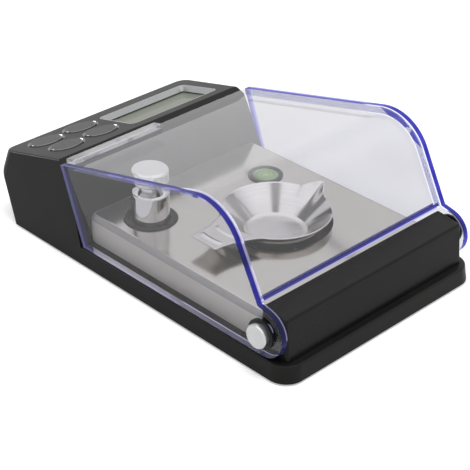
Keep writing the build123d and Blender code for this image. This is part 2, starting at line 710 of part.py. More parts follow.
def button(x, row):
    """An oval cap with a soft edge, a flange under the shell and a stem over its switch."""
    flange_top = -BODY_WALL - BUTTON_FLANGE_GAP
    flange_low = flange_top - BUTTON_FLANGE_THICK
    plunger_top = -BOARD_DEPTH + SWITCH_HEIGHT + PLUNGER_HEIGHT
    cap = top_oval(x, row, flange_low, BUTTON_PROUD, 0)
    crown = cap.faces().sort_by(lambda f: -f.normal_at().dot(TOP_PLANE.z_dir))[0]
    cap = fillet(crown.edges(), BUTTON_EDGE)
    cap = cap + top_oval(x, row, flange_low, flange_top, BUTTON_FLANGE)
    return cap + top_rod(x, row, plunger_top + BUTTON_TRAVEL + PLUNGER_GAP, flange_low, BUTTON_STEM_RADIUS)


def deck_shell(inset):
    """The steel deck cover's rounded box, or its inside."""
    width = 2 * (DECK_SIDE_X - inset)
    length = DECK_REAR_Y - DECK_FRONT_Y - 2 * inset
    middle = (DECK_REAR_Y + DECK_FRONT_Y) / 2
    top = DECK_TOP - inset
    shape = extrude(RectangleRounded(width, length, DECK_CORNER - inset), top - RIM_TOP)
    shape = fillet(shape.faces().sort_by(Axis.Z)[-1].edges(), DECK_BEND - inset)
    return Pos(0, middle, RIM_TOP) * shape


def steel_deck():
    deck = deck_shell(0) - deck_shell(STEEL) - ribbon_slot()
    deck = deck - rod(PAN_X, PAN_Y, BEAM_TOP, DECK_TOP + STEEL, OPENING_RADIUS)
    deck = deck - rod(WEIGHT_X, WEIGHT_Y, BEAM_TOP, DECK_TOP + STEEL, CUP_BODY_RADIUS)
    return deck - rod(LEVEL_X, LEVEL_Y, BEAM_TOP, DECK_TOP + STEEL, LEVEL_RADIUS)


def turned(x, y, *points):
    """A solid turned about an upright axis from the points of its half section."""
    return Pos(x, y, 0) * revolve(Plane.XZ * polygon(*points), Axis.Z)


def dish_well():
    """The black ring under the steel deck that closes the gap round the dish."""
    low = DECK_UNDER - WELL_DEPTH
    floor = low + WELL_FLOOR
    outer = OPENING_RADIUS + WELL_WALL
    return turned(
        PAN_X, PAN_Y, (WELL_HOLE_RADIUS, low), (outer, low), (outer, DECK_UNDER),
        (OPENING_RADIUS, DECK_UNDER), (OPENING_RADIUS, floor), (WELL_HOLE_RADIUS, floor),
    )


def weighing_dish():
    """A shallow steel dish with a flared wall."""
    low = DISH_FLOOR_Z - STEEL
    return turned(
        PAN_X, PAN_Y, (0, low), (DISH_FLOOR_RADIUS + STEEL / 2, low),
        (DISH_RADIUS, DISH_RIM_Z - STEEL), (DISH_RADIUS, DISH_RIM_Z), (DISH_RADIUS - STEEL, DISH_RIM_Z),
        (DISH_FLOOR_RADIUS, DISH_FLOOR_Z), (0, DISH_FLOOR_Z),
    )


def dish_carrier():
    """The boss that carries the dish on the beam's free end."""
    carrier = rod(PAN_X, PAN_Y, BEAM_TOP, DISH_FLOOR_Z - STEEL, CARRIER_RADIUS)
    for screw in carrier_screws():
        carrier = carrier - screw
    return carrier


def load_cell():
    """A bending beam with a double bore that lets it flex."""
    middle = (BEAM_Y0 + BEAM_Y1) / 2
    z = BEAM_Z + BEAM_HEIGHT / 2
    half = BEAM_BORE_PITCH / 2
    beam = Pos(PAN_X, middle, z) * Box(BEAM_WIDTH, BEAM_LENGTH, BEAM_HEIGHT)
    beam = beam - Pos(PAN_X, middle, z) * Box(BEAM_WIDTH, BEAM_BORE_PITCH, BEAM_SLOT)
    for y in (middle - half, middle + half):
        beam = beam - Pos(PAN_X, y, z) * Rot(0, 90, 0) * Cylinder(BEAM_BORE_RADIUS, BEAM_WIDTH)
    for screw in beam_screws() + carrier_screws():
        beam = beam - screw
    return beam


def load_cell_spacer():
    half = BEAM_WIDTH / 2
    spacer = block(PAN_X - half, PAN_X + half, BEAM_Y0, BEAM_Y0 + BEAM_SPACER_LENGTH, TROUGH_Z, BEAM_Z)
    for screw in beam_screws():
        spacer = spacer - screw
    return spacer


def pan_form(inset):
    """The pan's outer form, or its inside: a flared bowl with a pouring spout at each side."""
    floor = DISH_FLOOR_Z + PAN_REST_GAP
    rim = floor + PAN_DEPTH
    flare = (PAN_RADIUS - PAN_FLOOR_RADIUS) / PAN_DEPTH
    slant = inset * hypot(1, flare)
    low = floor + inset
    floor_radius = PAN_FLOOR_RADIUS - slant + inset * flare
    form = turned(0, 0, (0, low), (floor_radius, low), (PAN_RADIUS - slant, rim), (0, rim))
    foot = PAN_FLOOR_RADIUS + SPOUT_START * flare - slant
    for side in (1, -1):
        form = form + spout(side, floor + SPOUT_START, rim + SPOUT_RISE, foot, inset)
    return form & pan_trim(low, rim)


def pan_trim(low, rim):
    """The space under the pan's rim line, which rises towards both spout tips."""
    top = rim + SPOUT_RISE
    start = PAN_RADIUS - SPOUT_HALF_WIDTH
    shape = polygon(
        (-SPOUT_REACH, low), (SPOUT_REACH, low), (SPOUT_REACH, top),
        (start, rim), (-start, rim), (-SPOUT_REACH, top),
    )
    return extrude(Plane.XZ * shape, PAN_RADIUS, both=True)


def spout(side, low, high, foot, inset):
    """A tapered lip that grows out of the bowl's wall and ends in a narrow tip."""
    low_tip = SPOUT_TIP_RADIUS / 2
    low_hull = taper_hull(side, 0, SPOUT_FOOT_RADIUS, foot - low_tip, low_tip)
    root = PAN_RADIUS - SPOUT_HALF_WIDTH
    tip = SPOUT_REACH - SPOUT_TIP_RADIUS
    high_hull = taper_hull(side, root, SPOUT_HALF_WIDTH - inset, tip, SPOUT_TIP_RADIUS - inset)
    return loft([Plane(origin=(0, 0, low)) * low_hull, Plane(origin=(0, 0, high)) * high_hull], ruled=True)


def taper_hull(side, root_x, root_radius, tip_x, tip_radius):
    """Two circles of different size joined by their common tangents."""
    root = Pos(side * root_x, 0) * Circle(root_radius)
    tip = Pos(side * tip_x, 0) * Circle(tip_radius)
    return make_hull([*root.edges(), *tip.edges()])


def weighing_pan():
    return Pos(PAN_X, PAN_Y, 0) * (pan_form(0) - pan_form(PAN_THICK))


def weight_cup():
    """A black cup that drops into the steel deck and holds the weight upright."""
    top = DECK_TOP + CUP_FLANGE_THICK
    floor = top - CUP_SINK - CUP_FLANGE_THICK
    low = floor - CUP_FLOOR
    bore = WEIGHT_RADIUS + CUP_CLEARANCE
    body = CUP_BODY_RADIUS - CUP_FIT
    return turned(
        WEIGHT_X, WEIGHT_Y, (0, low), (body, low), (body, DECK_TOP), (CUP_FLANGE_RADIUS, DECK_TOP),
        (CUP_FLANGE_RADIUS - CUP_FLANGE_THICK, top), (bore, top), (bore, floor), (0, floor),
    )


def calibration_weight():
    """A plain turned weight: body, shoulder, neck and a rounded knob."""
    low = DECK_TOP - CUP_SINK + WEIGHT_REST_GAP
    shoulder = low + WEIGHT_BODY_HEIGHT
    neck = shoulder + WEIGHT_SHOULDER
    knob = neck + WEIGHT_NECK_HEIGHT
    top = knob + WEIGHT_KNOB_HEIGHT
    edge = WEIGHT_KNOB_EDGE
    half = polygon(
        (0, low), (WEIGHT_RADIUS, low), (WEIGHT_RADIUS, shoulder), (WEIGHT_NECK_RADIUS, neck),
        (WEIGHT_NECK_RADIUS, neck + WEIGHT_NECK_HEIGHT / 2),
        (WEIGHT_KNOB_RADIUS, knob), (WEIGHT_KNOB_RADIUS, top), (0, top),
    )
    half = round_corner(half, (WEIGHT_KNOB_RADIUS, top), edge)
    half = round_corner(half, (WEIGHT_KNOB_RADIUS, knob), edge)
    half = round_corner(half, (WEIGHT_RADIUS, shoulder), edge)
    return Pos(WEIGHT_X, WEIGHT_Y, 0) * revolve(Plane.XZ * half, Axis.Z)


def level_cup():
    top = DECK_TOP + LEVEL_PROUD
    low = DECK_TOP - LEVEL_HEIGHT
    floor = low + LEVEL_FLOOR
    return turned(
        LEVEL_X, LEVEL_Y, (0, low), (LEVEL_RADIUS, low), (LEVEL_RADIUS, DECK_TOP),
        (LEVEL_FLANGE_RADIUS, DECK_TOP), (LEVEL_FLANGE_RADIUS, top), (LEVEL_VIAL_RADIUS, top),
        (LEVEL_VIAL_RADIUS, floor), (0, floor),
    )


def level_vial():
    low = DECK_TOP - LEVEL_HEIGHT + LEVEL_FLOOR
    return rod(LEVEL_X, LEVEL_Y, low, DECK_TOP + LEVEL_PROUD / 2, LEVEL_VIAL_RADIUS)


def hinge_pin(side):
    """A pin pressed into the bar's end, with a rounded head outside the washer."""
    inner = BAR_END_X - PIN_GRIP
    head = COVER_OUTER_X + WASHER_GAP + WASHER_THICK
    shank = Pos((inner + head) / 2, 0, 0) * Rot(0, 90, 0) * Cylinder(PIN_RADIUS, head - inner)
    cap = Pos(head + PIN_HEAD_LENGTH / 2, 0, 0) * Rot(0, 90, 0) * Cylinder(PIN_HEAD_RADIUS, PIN_HEAD_LENGTH)
    cap = fillet(cap.edges().sort_by(Axis.X)[-1:], PIN_HEAD_EDGE)
    return Pos(0, HINGE_Y, HINGE_Z) * mirrored(shank + cap, side)


def mirrored(solid, side):
    """The solid itself for +1, or its mirror image across the middle for -1."""
    if side > 0:
        return solid
    return mirror(solid, Plane.YZ)


def hinge_washer(side):
    x = COVER_OUTER_X + WASHER_GAP
    ring = Pos(x, 0, 0) * extrude(Plane.YZ * (Circle(WASHER_RADIUS) - Circle(PIN_RADIUS)), WASHER_THICK)
    return Pos(0, HINGE_Y, HINGE_Z) * mirrored(ring, side)


def hinge_bar():
    """The black bar across the far end, hollowed from below between its screw bosses."""
    profile = polygon(
        (BAR_FOOT_REAR_Y, RIM_TOP), (BAR_TOP_REAR_Y, BAR_TOP_REAR_Z),
        (BAR_TOP_FRONT_Y, BAR_TOP_FRONT_Z), (BAR_FOOT_FRONT_Y, RIM_TOP),
    )
    bar = yz_prism(profile, -BAR_END_X, BAR_END_X)
    top_edges = bar.edges().filter_by(lambda e: e.center().Z > RIM_TOP + BAR_EDGE_RADIUS)
    bar = fillet(top_edges, BAR_EDGE_RADIUS)
    inner = offset(profile, -BAR_WALL, kind=Kind.INTERSECTION)
    for x0, x1 in zip(BAR_SCREW_X, BAR_SCREW_X[1:]):
        pocket = yz_prism(inner, x0 + BOSS_RADIUS, x1 - BOSS_RADIUS)
        pocket = pocket + Pos(0, 0, -BAR_WALL) * pocket
        bar = bar - pocket
    for side in (1, -1):
        bar = bar - hinge_pin(side)
    for screw in bar_screws():
        bar = bar - screw
    return bar


def cover_line():
    """The cover's top line in side view: rear edge, bend corner and front edge."""
    bend_z = COVER_REAR_Z + (COVER_BEND_Y - COVER_REAR_Y) * tan(radians(COVER_SLOPE))
    return (COVER_REAR_Y, COVER_REAR_Z), (COVER_BEND_Y, bend_z), (COVER_FRONT_Y, COVER_FRONT_Z)


def lug_radius():
    return HINGE_Z - COVER_FOOT_Z


def cover_side(side):
    """A clear side panel: sloped rear edge, bent top line and a round hinge lug."""
    rear, bend, front = cover_line()
    panel = polygon(
        (COVER_REAR_FOOT_Y, COVER_FOOT_Z), rear, bend, front, (HINGE_Y, HINGE_Z), (HINGE_Y, COVER_FOOT_Z)
    )
    panel = round_corner(panel, bend, COVER_BEND_RADIUS)
    span = hypot(front[0] - HINGE_Y, front[1] - HINGE_Z)
    lean = atan2(front[1] - HINGE_Z, front[0] - HINGE_Y)
    turn = lean - acos(lug_radius() / span)
    touch = (HINGE_Y + lug_radius() * cos(turn), HINGE_Z + lug_radius() * sin(turn))
    panel = panel + polygon(front, touch, (HINGE_Y, HINGE_Z))
    panel = panel + Pos(HINGE_Y, HINGE_Z) * Circle(lug_radius())
    panel = panel - Pos(HINGE_Y, HINGE_Z) * Circle(PIN_RADIUS + PIN_RUN_FIT)
    return mirrored(yz_prism(panel, COVER_INNER_X, COVER_OUTER_X), side)


def cover_sheet():
    """The clear sheet bent over from the sloped top to the front."""
    rear, bend, front = cover_line()
    slope = radians(COVER_SLOPE)
    fall = atan2(front[1] - bend[1], front[0] - bend[0])
    down = (slope - radians(90), fall - radians(90))
    rear_in = shifted(rear, down[0])
    front_in = shifted(front, down[1])
    half_turn = (slope - fall) / 2
    reach = COVER_THICK / cos(half_turn)
    inward = (down[0] + down[1]) / 2
    bend_in = (bend[0] + reach * cos(inward), bend[1] + reach * sin(inward))
    sheet = polygon(rear, bend, front, front_in, bend_in, rear_in)
    sheet = round_corner(sheet, bend, COVER_BEND_RADIUS)
    sheet = round_corner(sheet, bend_in, COVER_BEND_RADIUS - COVER_THICK)
    return yz_prism(sheet, -COVER_INNER_X, COVER_INNER_X)


def shifted(point, angle):
    """A point moved by the sheet's thickness along an angle."""
    return point[0] + COVER_THICK * cos(angle), point[1] + COVER_THICK * sin(angle)


def cover_lift_strip():
    """A clear strip on the sheet's rear edge, for a fingertip to lift the cover by."""
    plane = Plane(
        origin=(COVER_INNER_X - LIFT_STRIP_LENGTH / 2, COVER_REAR_Y, COVER_REAR_Z), x_dir=(1, 0, 0),
        z_dir=(0, -sin(radians(COVER_SLOPE)), cos(radians(COVER_SLOPE))),
    )
    strip = Box(LIFT_STRIP_LENGTH, LIFT_STRIP_WIDTH, LIFT_STRIP_THICK)
    strip = fillet(strip.edges().filter_by(Axis.X).group_by(Axis.Z)[-1], LIFT_STRIP_EDGE)
    return plane * (Pos(0, LIFT_STRIP_INSET + LIFT_STRIP_WIDTH / 2, LIFT_STRIP_THICK / 2) * strip)


def save(name, solids):
    """Write one node, from one solid or from a list of separate ones."""
    shape = Compound(children=list(solids)) if isinstance(solids, list) else solids
    export_step(shape, f"parts/{name}.step")


def main():
    os.makedirs("parts", exist_ok=True)
    envelope = rounded_envelope()
    save("main_body", main_body(envelope))
    save("bottom_plate", bottom_plate(envelope))
    save("bottom_screws", [bottom_screw(place) for place in screw_places()])
    save("rubber_feet", rubber_feet())
    save("battery_door", battery_door(envelope))
    save("batteries", batteries())
    save("battery_contacts", battery_contacts())
    save("main_board", main_board())
    save("board_screws", board_screws())
    save("tact_switches", tact_switches())
    for name, (x, row) in zip(BUTTON_NAMES, BUTTON_PLACES):
        save(name, button(x, row))
    save("lcd_bezel", lcd_bezel())
    save("lcd_glass", lcd_glass())
    save("lcd_backlight", lcd_backlight())
    save("lcd_connector_strips", lcd_connector_strips())
    save("steel_deck", steel_deck())
    save("dish_well", dish_well())
    save("weighing_dish", weighing_dish())
    save("dish_carrier", dish_carrier())
    save("carrier_screws", carrier_screws())
    save("load_cell", load_cell())
    save("load_cell_spacer", load_cell_spacer())
    save("load_cell_screws", beam_screws())
    save("load_cell_ribbon", ribbon())
    save("weighing_pan", weighing_pan())
    save("weight_cup", weight_cup())
    save("calibration_weight", calibration_weight())
    save("level_cup", level_cup())
    save("level_vial", level_vial())
    save("hinge_bar", hinge_bar())
    save("hinge_bar_screws", bar_screws())
    for side, word in ((1, "right"), (-1, "left")):
        save(f"hinge_pin_{word}", hinge_pin(side))
        save(f"hinge_washer_{word}", hinge_washer(side))
        save(f"cover_side_{word}", cover_side(side))
    save("cover_sheet", cover_sheet())
    save("cover_lift_strip", cover_lift_strip())


main()
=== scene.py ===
import math

import bmesh
import bpy
from mathutils import Matrix, Vector


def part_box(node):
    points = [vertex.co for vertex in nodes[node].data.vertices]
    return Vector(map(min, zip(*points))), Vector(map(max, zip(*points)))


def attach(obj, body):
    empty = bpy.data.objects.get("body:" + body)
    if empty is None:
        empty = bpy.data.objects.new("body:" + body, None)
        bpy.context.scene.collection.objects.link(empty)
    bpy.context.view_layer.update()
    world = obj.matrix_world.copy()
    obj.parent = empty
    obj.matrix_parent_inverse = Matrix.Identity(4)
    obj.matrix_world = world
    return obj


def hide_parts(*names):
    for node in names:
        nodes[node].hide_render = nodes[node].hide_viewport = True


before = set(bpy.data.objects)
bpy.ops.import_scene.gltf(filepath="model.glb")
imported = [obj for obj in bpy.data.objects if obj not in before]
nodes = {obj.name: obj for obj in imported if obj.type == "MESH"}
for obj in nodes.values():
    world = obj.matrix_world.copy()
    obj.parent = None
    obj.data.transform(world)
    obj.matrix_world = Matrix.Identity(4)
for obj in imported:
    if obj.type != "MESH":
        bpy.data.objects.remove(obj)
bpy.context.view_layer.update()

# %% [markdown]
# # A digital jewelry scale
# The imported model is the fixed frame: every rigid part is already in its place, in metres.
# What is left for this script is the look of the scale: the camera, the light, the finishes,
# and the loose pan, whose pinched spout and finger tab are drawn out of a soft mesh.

MM = 0.001
print("parts in the frame:", len(nodes))

# %% [markdown]
# ## Camera
# The photograph looks over the hinge end, from the side of the buttons. A camera is a place,
# two angles, a small roll and a lens. The camera's own axes are its right, its up and its back,
# so its matrix can be written from those three directions without any tracking constraint.

# %% Camera
CAMERA_PLACE = Vector((0.35053, 0.36051, 0.31177))
CAMERA_AZIMUTH = math.radians(135.54)
CAMERA_ELEVATION = math.radians(31.38)
CAMERA_ROLL = math.radians(0.62)
CAMERA_LENS = 112.9


def camera_matrix(place, azimuth, elevation, roll):
    level = math.cos(elevation)
    back = Vector((math.sin(azimuth) * level, -math.cos(azimuth) * level, math.sin(elevation)))
    right = (-back).cross(Vector((0, 0, 1))).normalized()
    up = back.cross(right)
    tilted_right = right * math.cos(roll) + up * math.sin(roll)
    tilted_up = up * math.cos(roll) - right * math.sin(roll)
    turned = Matrix((tilted_right, tilted_up, back)).transposed()
    return Matrix.Translation(place) @ turned.to_4x4()


camera_data = bpy.data.cameras.new("camera")
camera_data.lens = CAMERA_LENS
camera_data.clip_start = 0.01
camera = bpy.data.objects.new("camera", camera_data)
camera.matrix_world = camera_matrix(CAMERA_PLACE, CAMERA_AZIMUTH, CAMERA_ELEVATION, CAMERA_ROLL)
bpy.context.scene.collection.objects.link(camera)
bpy.context.scene.camera = camera
bpy.context.scene.view_settings.view_transform = "Standard"
print("camera looks from", [round(v, 3) for v in camera.location])

# %% [markdown]
# ## Helpers for materials
# A finish is a small node tree. One helper starts a Principled material and sets the numbers that
# are the same all over. Another places a shared node group in it. The groups give out
# only colours, masks and heights, and each material decides what they drive. The small helpers
# each add a node or a few: a sum, a soft step, a mix of two colours, the distance from an axis, or
# how far a surface looks one way.

# %% A Principled material with its plain numbers
def start_material(name, **plain):
    material = bpy.data.materials.new(name)
    material.use_nodes = True
    shader = material.node_tree.nodes["Principled BSDF"]
    for socket, value in plain.items():
        shader.inputs[socket.replace("_", " ")].default_value = value
    return material, shader


def grey(value, warmth=0.0):
    return (value * (1 + warmth), value, value * (1 - warmth), 1.0)


def link(material, source, target):
    material.node_tree.links.new(source, target)


# %% A node with its settings, in a material or in a group
UP = (0.0, 0.0, 1.0)
ACROSS = (1.0, 0.0, 0.0)
LENGTHWAYS = (0.0, 1.0, 0.0)
BACKWARDS = (0.0, -1.0, 0.0)
DOWNWARDS = (0.0, 0.0, -1.0)


def add_node(tree, kind, settings=None, **values):
    node = tree.nodes.new(kind)
    for name, value in (settings or {}).items():
        setattr(node, name, value)
    for name, value in values.items():
        node.inputs[name.replace("_", " ")].default_value = value
    return node


def feed(tree, value, socket):
    """Write a plain number, colour or direction into a socket, and link anything else to it."""
    if isinstance(value, (int, float, tuple, Vector)):
        socket.default_value = value
    else:
        tree.links.new(value, socket)


def math_node(tree, operation, first, second=0.0, third=0.0):
    node = add_node(tree, "ShaderNodeMath", {"operation": operation})
    for socket, value in zip(node.inputs, (first, second, third)):
        feed(tree, value, socket)
    return node.outputs[0]


def vector_node(tree, operation, first, second=UP, result="Vector"):
    node = add_node(tree, "ShaderNodeVectorMath", {"operation": operation})
    for socket, value in zip(node.inputs, (first, second)):
        feed(tree, value, socket)
    return node.outputs[result]


def map_range(tree, source, low, high, new_low=0.0, new_high=1.0):
    """A soft step from new_low, at or before low, to new_high, at or beyond high."""
    node = add_node(tree, "ShaderNodeMapRange", {"interpolation_type": "SMOOTHSTEP"})
    for socket, value in zip(node.inputs, (source, low, high, new_low, new_high)):
        feed(tree, value, socket)
    return node.outputs[0]


def mix_colour(tree, mask, first, second):
    node = add_node(tree, "ShaderNodeMix", {"data_type": "RGBA"})
    for socket, value in ((node.inputs["Factor"], mask), (node.inputs[6], first), (node.inputs[7], second)):
        feed(tree, value, socket)
    return node.outputs[2]


# %% Where a point lies and how its surface is turned
def object_place(tree):
    return tree.nodes.new("ShaderNodeTexCoord").outputs["Object"]


def distance_from(tree, centre, across=(1.0, 1.0, 0.0)):
    """Distance from a line through the centre, in metres: the place is flattened with across first."""
    moved = vector_node(tree, "SUBTRACT", object_place(tree), centre)
    flat = vector_node(tree, "MULTIPLY", moved, across)
    return vector_node(tree, "LENGTH", flat, result="Value")


def along(tree, direction):
    """How far a place lies along a direction, in metres."""
    return vector_node(tree, "DOT_PRODUCT", object_place(tree), direction, "Value")


def turned_to(tree, direction):
    """One on a face that looks along a direction, minus one on a face that looks the other way."""
    outward = tree.nodes.new("ShaderNodeTexCoord").outputs["Normal"]
    return vector_node(tree, "DOT_PRODUCT", outward, direction, "Value")


def inverse(tree, mask):
    return math_node(tree, "SUBTRACT", 1.0, mask)


def both(tree, first, second):
    return math_node(tree, "MULTIPLY", first, second)


def either(tree, first, second):
    return math_node(tree, "MAXIMUM", first, second)


# %% [markdown]
# ## Shared surface effects
# Three effects turn up again and again on such a product: the fine spark grain of a moulding, the
# long scratches of brushed sheet, and the rings that a lathe leaves. Each is built once as a group with
# named inputs. All read Object coordinates, so the pattern keeps its real size on every part.

# %% A group with named inputs and outputs
def new_group(name, inputs, outputs):
    tree = bpy.data.node_groups.new(name, "ShaderNodeTree")
    for socket_name, kind, value in inputs:
        socket = tree.interface.new_socket(socket_name, in_out="INPUT", socket_type=kind)
        socket.default_value = value
    for socket_name, kind in outputs:
        tree.interface.new_socket(socket_name, in_out="OUTPUT", socket_type=kind)
    entry = tree.nodes.new("NodeGroupInput")
    leave = tree.nodes.new("NodeGroupOutput")
    return tree, entry, leave


NUMBER = "NodeSocketFloat"
COLOUR = "NodeSocketColor"
DIRECTION = "NodeSocketVector"
PATTERN_OUTPUTS = [("Color", COLOUR), ("Roughness", NUMBER), ("Height", NUMBER)]
PATTERN_INPUTS = [
    ("Dark Color", COLOUR, (0.0, 0.0, 0.0, 1.0)),
    ("Light Color", COLOUR, (1.0, 1.0, 1.0, 1.0)),
    ("Roughness Low", NUMBER, 0.3),
    ("Roughness High", NUMBER, 0.5),
]


def finish_pattern(tree, entry, leave, tone, shine, height):
    given = entry.outputs
    colour = mix_colour(tree, tone, given["Dark Color"], given["Light Color"])
    rough = map_range(tree, shine, 0.0, 1.0, given["Roughness Low"], given["Roughness High"])
    tree.links.new(colour, leave.inputs["Color"])
    tree.links.new(rough, leave.inputs["Roughness"])
    tree.links.new(height, leave.inputs["Height"])


def blend(tree, first, second, share):
    """A share of the first pattern and the rest of the second."""
    return math_node(tree, "MULTIPLY_ADD", first, share, both(tree, second, round(1 - share, 3)))


# %% Spark grain of a plastic moulding
def make_moulded_grain():
    tree, entry, leave = new_group(
        "moulded grain", PATTERN_INPUTS + [("Grain per Metre", NUMBER, 3500.0)], PATTERN_OUTPUTS
    )
    place = object_place(tree)
    fine = add_node(tree, "ShaderNodeTexNoise", Detail=3.0, Roughness=0.6)
    tree.links.new(place, fine.inputs["Vector"])
    tree.links.new(entry.outputs["Grain per Metre"], fine.inputs["Scale"])
    broad = add_node(tree, "ShaderNodeTexNoise", Scale=38.0, Detail=4.0, Roughness=0.55)
    tree.links.new(place, broad.inputs["Vector"])
    tone = map_range(tree, broad.outputs["Fac"], 0.3, 0.7)
    shine = blend(tree, fine.outputs["Fac"], tone, 0.5)
    finish_pattern(tree, entry, leave, tone, shine, fine.outputs["Fac"])
    return tree


# %% Long fine scratches of brushed sheet
def make_brushed_lines():
    tree, entry, leave = new_group(
        "brushed lines", PATTERN_INPUTS + [("Stretch", DIRECTION, (60.0, 6000.0, 6000.0))], PATTERN_OUTPUTS
    )
    scaled = vector_node(tree, "MULTIPLY", object_place(tree), entry.outputs["Stretch"])
    lines = add_node(tree, "ShaderNodeTexNoise", Scale=1.0, Detail=5.0, Roughness=0.65)
    tree.links.new(scaled, lines.inputs["Vector"])
    clouds = add_node(tree, "ShaderNodeTexNoise", Scale=26.0, Detail=2.0, Roughness=0.5)
    tree.links.new(object_place(tree), clouds.inputs["Vector"])
    tone = blend(tree, lines.outputs["Fac"], clouds.outputs["Fac"], 0.7)
    shine = map_range(tree, lines.outputs["Fac"], 0.25, 0.75)
    finish_pattern(tree, entry, leave, map_range(tree, tone, 0.35, 0.65), shine, lines.outputs["Fac"])
    return tree


# %% Rings that a lathe or a polishing wheel leaves round an axis
def make_turned_rings():
    tree, entry, leave = new_group(
        "turned rings",
        PATTERN_INPUTS + [
            ("Centre", DIRECTION, (0.0, 0.0, 0.0)),
            ("Across", DIRECTION, (1.0, 1.0, 0.0)),
            ("Rings per Metre", NUMBER, 3000.0),
        ],
        PATTERN_OUTPUTS,
    )
    radius = distance_from(tree, entry.outputs["Centre"], entry.outputs["Across"])
    turns = math_node(tree, "MULTIPLY", radius, entry.outputs["Rings per Metre"])
    rings = add_node(tree, "ShaderNodeTexNoise", {"noise_dimensions": "1D"}, Scale=1.0, Detail=3.0)
    tree.links.new(turns, rings.inputs["W"])
    smears = add_node(tree, "ShaderNodeTexNoise", Scale=70.0, Detail=3.0)
    tree.links.new(object_place(tree), smears.inputs["Vector"])
    tone = blend(tree, rings.outputs["Fac"], smears.outputs["Fac"], 0.6)
    shine = map_range(tree, smears.outputs["Fac"], 0.3, 0.7)
    finish_pattern(tree, entry, leave, map_range(tree, tone, 0.35, 0.65), shine, rings.outputs["Fac"])
    return tree


moulded_grain = make_moulded_grain()
brushed_lines = make_brushed_lines()
turned_rings = make_turned_rings()
print("shared effects:", moulded_grain.name, brushed_lines.name, turned_rings.name)


# %% A material that takes its colour, roughness and bump from one shared effect
def patterned(name, group, dark, light, rough, bump, inputs=None, **plain):
    material, shader = start_material(name, **plain)
    tree = material.node_tree
    effect = tree.nodes.new("ShaderNodeGroup")
    effect.node_tree = group
    tones = {"Dark Color": dark, "Light Color": light, "Roughness Low": rough[0], "Roughness High": rough[1]}
    for socket, value in {**tones, **(inputs or {})}.items():
        effect.inputs[socket].default_value = value
    link(material, effect.outputs["Color"], shader.inputs["Base Color"])
    link(material, effect.outputs["Roughness"], shader.inputs["Roughness"])
    raised = add_node(tree, "ShaderNodeBump", Strength=bump[0], Distance=bump[1])
    link(material, effect.outputs["Height"], raised.inputs["Height"])
    link(material, raised.outputs["Normal"], shader.inputs["Normal"])
    return material


# %% [markdown]
# ## Black mouldings and rubber
# The housing, base plate and door are black ABS with a fine spark grain, which looks dark grey under
# a wide soft light. The hinge bar comes from a polished mould, so it is smoother and shows
# long highlights. The buttons are satin, and the slopes round them carry a clear gloss: its mask is a
# box round the buttons, times the faces that don't look straight out of the sloped top.
# The rubber feet are the dullest of all.

# %% Black plastics
BUTTONS = ["button_power", "button_mode", "button_calibrate", "button_tare"]
BUTTON_EDGE_COAT = {"Coat_Roughness": 0.08, "Coat_IOR": 2.3}
black_shell = patterned(
    "black_shell_plastic", moulded_grain, grey(0.007, 0.03), grey(0.010, 0.03), (0.30, 0.38), (0.2, 0.00004),
    {"Grain per Metre": 3200.0}, Specular_IOR_Level=0.15, **BUTTON_EDGE_COAT,
)
hinge_gloss = patterned(
    "hinge_bar_plastic", moulded_grain, grey(0.006, 0.03), grey(0.008, 0.03), (0.24, 0.28), (0.03, 0.00002),
    {"Grain per Metre": 2400.0}, Specular_IOR_Level=0.16,
)
button_satin = patterned(
    "button_plastic", moulded_grain, grey(0.013), grey(0.017), (0.24, 0.30), (0.12, 0.00003),
    {"Grain per Metre": 2600.0}, Specular_IOR_Level=0.2, **BUTTON_EDGE_COAT,
)

# %% The clear gloss round the buttons
SLOPED_TOP = (0.0, -0.247, 0.969)
COAT_MARGIN = 1.0 * MM
COAT_FADE = 0.2 * MM


def polish_button_edges(material):
    """A clear gloss on the slopes round the buttons, where fingers and the mould leave them smooth."""
    tree = material.node_tree
    boxes = [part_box(name) for name in BUTTONS]
    near = 1.0
    for axis, direction in enumerate((ACROSS, LENGTHWAYS, UP)):
        low = min(box[0][axis] for box in boxes) - COAT_MARGIN
        high = max(box[1][axis] for box in boxes) + COAT_MARGIN
        middle, half = (low + high) / 2, (high - low) / 2
        away = math_node(tree, "ABSOLUTE", math_node(tree, "SUBTRACT", along(tree, direction), middle))
        near = both(tree, near, map_range(tree, away, half, half + COAT_FADE, 1.0, 0.0))
    slope = map_range(tree, turned_to(tree, SLOPED_TOP), 0.9, 0.98, 1.0, 0.0)
    link(material, both(tree, near, slope), tree.nodes["Principled BSDF"].inputs["Coat Weight"])
    print("clear gloss round the buttons:", material.name)


polish_button_edges(black_shell)
polish_button_edges(button_satin)

# %% Satin and dull mouldings, and rubber
well_satin = patterned(
    "well_plastic", moulded_grain, grey(0.006), grey(0.009), (0.24, 0.32), (0.08, 0.00003),
    {"Grain per Metre": 2800.0}, Specular_IOR_Level=0.2,
)
level_ring = patterned(
    "level_ring_plastic", moulded_grain, grey(0.045), grey(0.065), (0.3, 0.4), (0.1, 0.00003),
)
switch_plastic = patterned(
    "switch_plastic", moulded_grain, grey(0.035), grey(0.05), (0.4, 0.5), (0.1, 0.00003),
)
foot_rubber = patterned(
    "foot_rubber", moulded_grain, grey(0.016), grey(0.028), (0.75, 0.92), (0.5, 0.0001),
    {"Grain per Metre": 1800.0},
)
strip_rubber = patterned(
    "connector_rubber", moulded_grain, (0.30, 0.28, 0.27, 1), (0.38, 0.36, 0.35, 1),
    (0.6, 0.75), (0.2, 0.00005),
)
carrier_white = patterned(
    "carrier_plastic", moulded_grain, grey(0.62, 0.02), grey(0.72, 0.02), (0.45, 0.55), (0.15, 0.00004),
)
backlight_white = patterned(
    "backlight_diffuser", moulded_grain, grey(0.70), grey(0.78), (0.5, 0.6), (0.1, 0.00003),
)
print("plastics and rubbers:", len(bpy.data.materials))

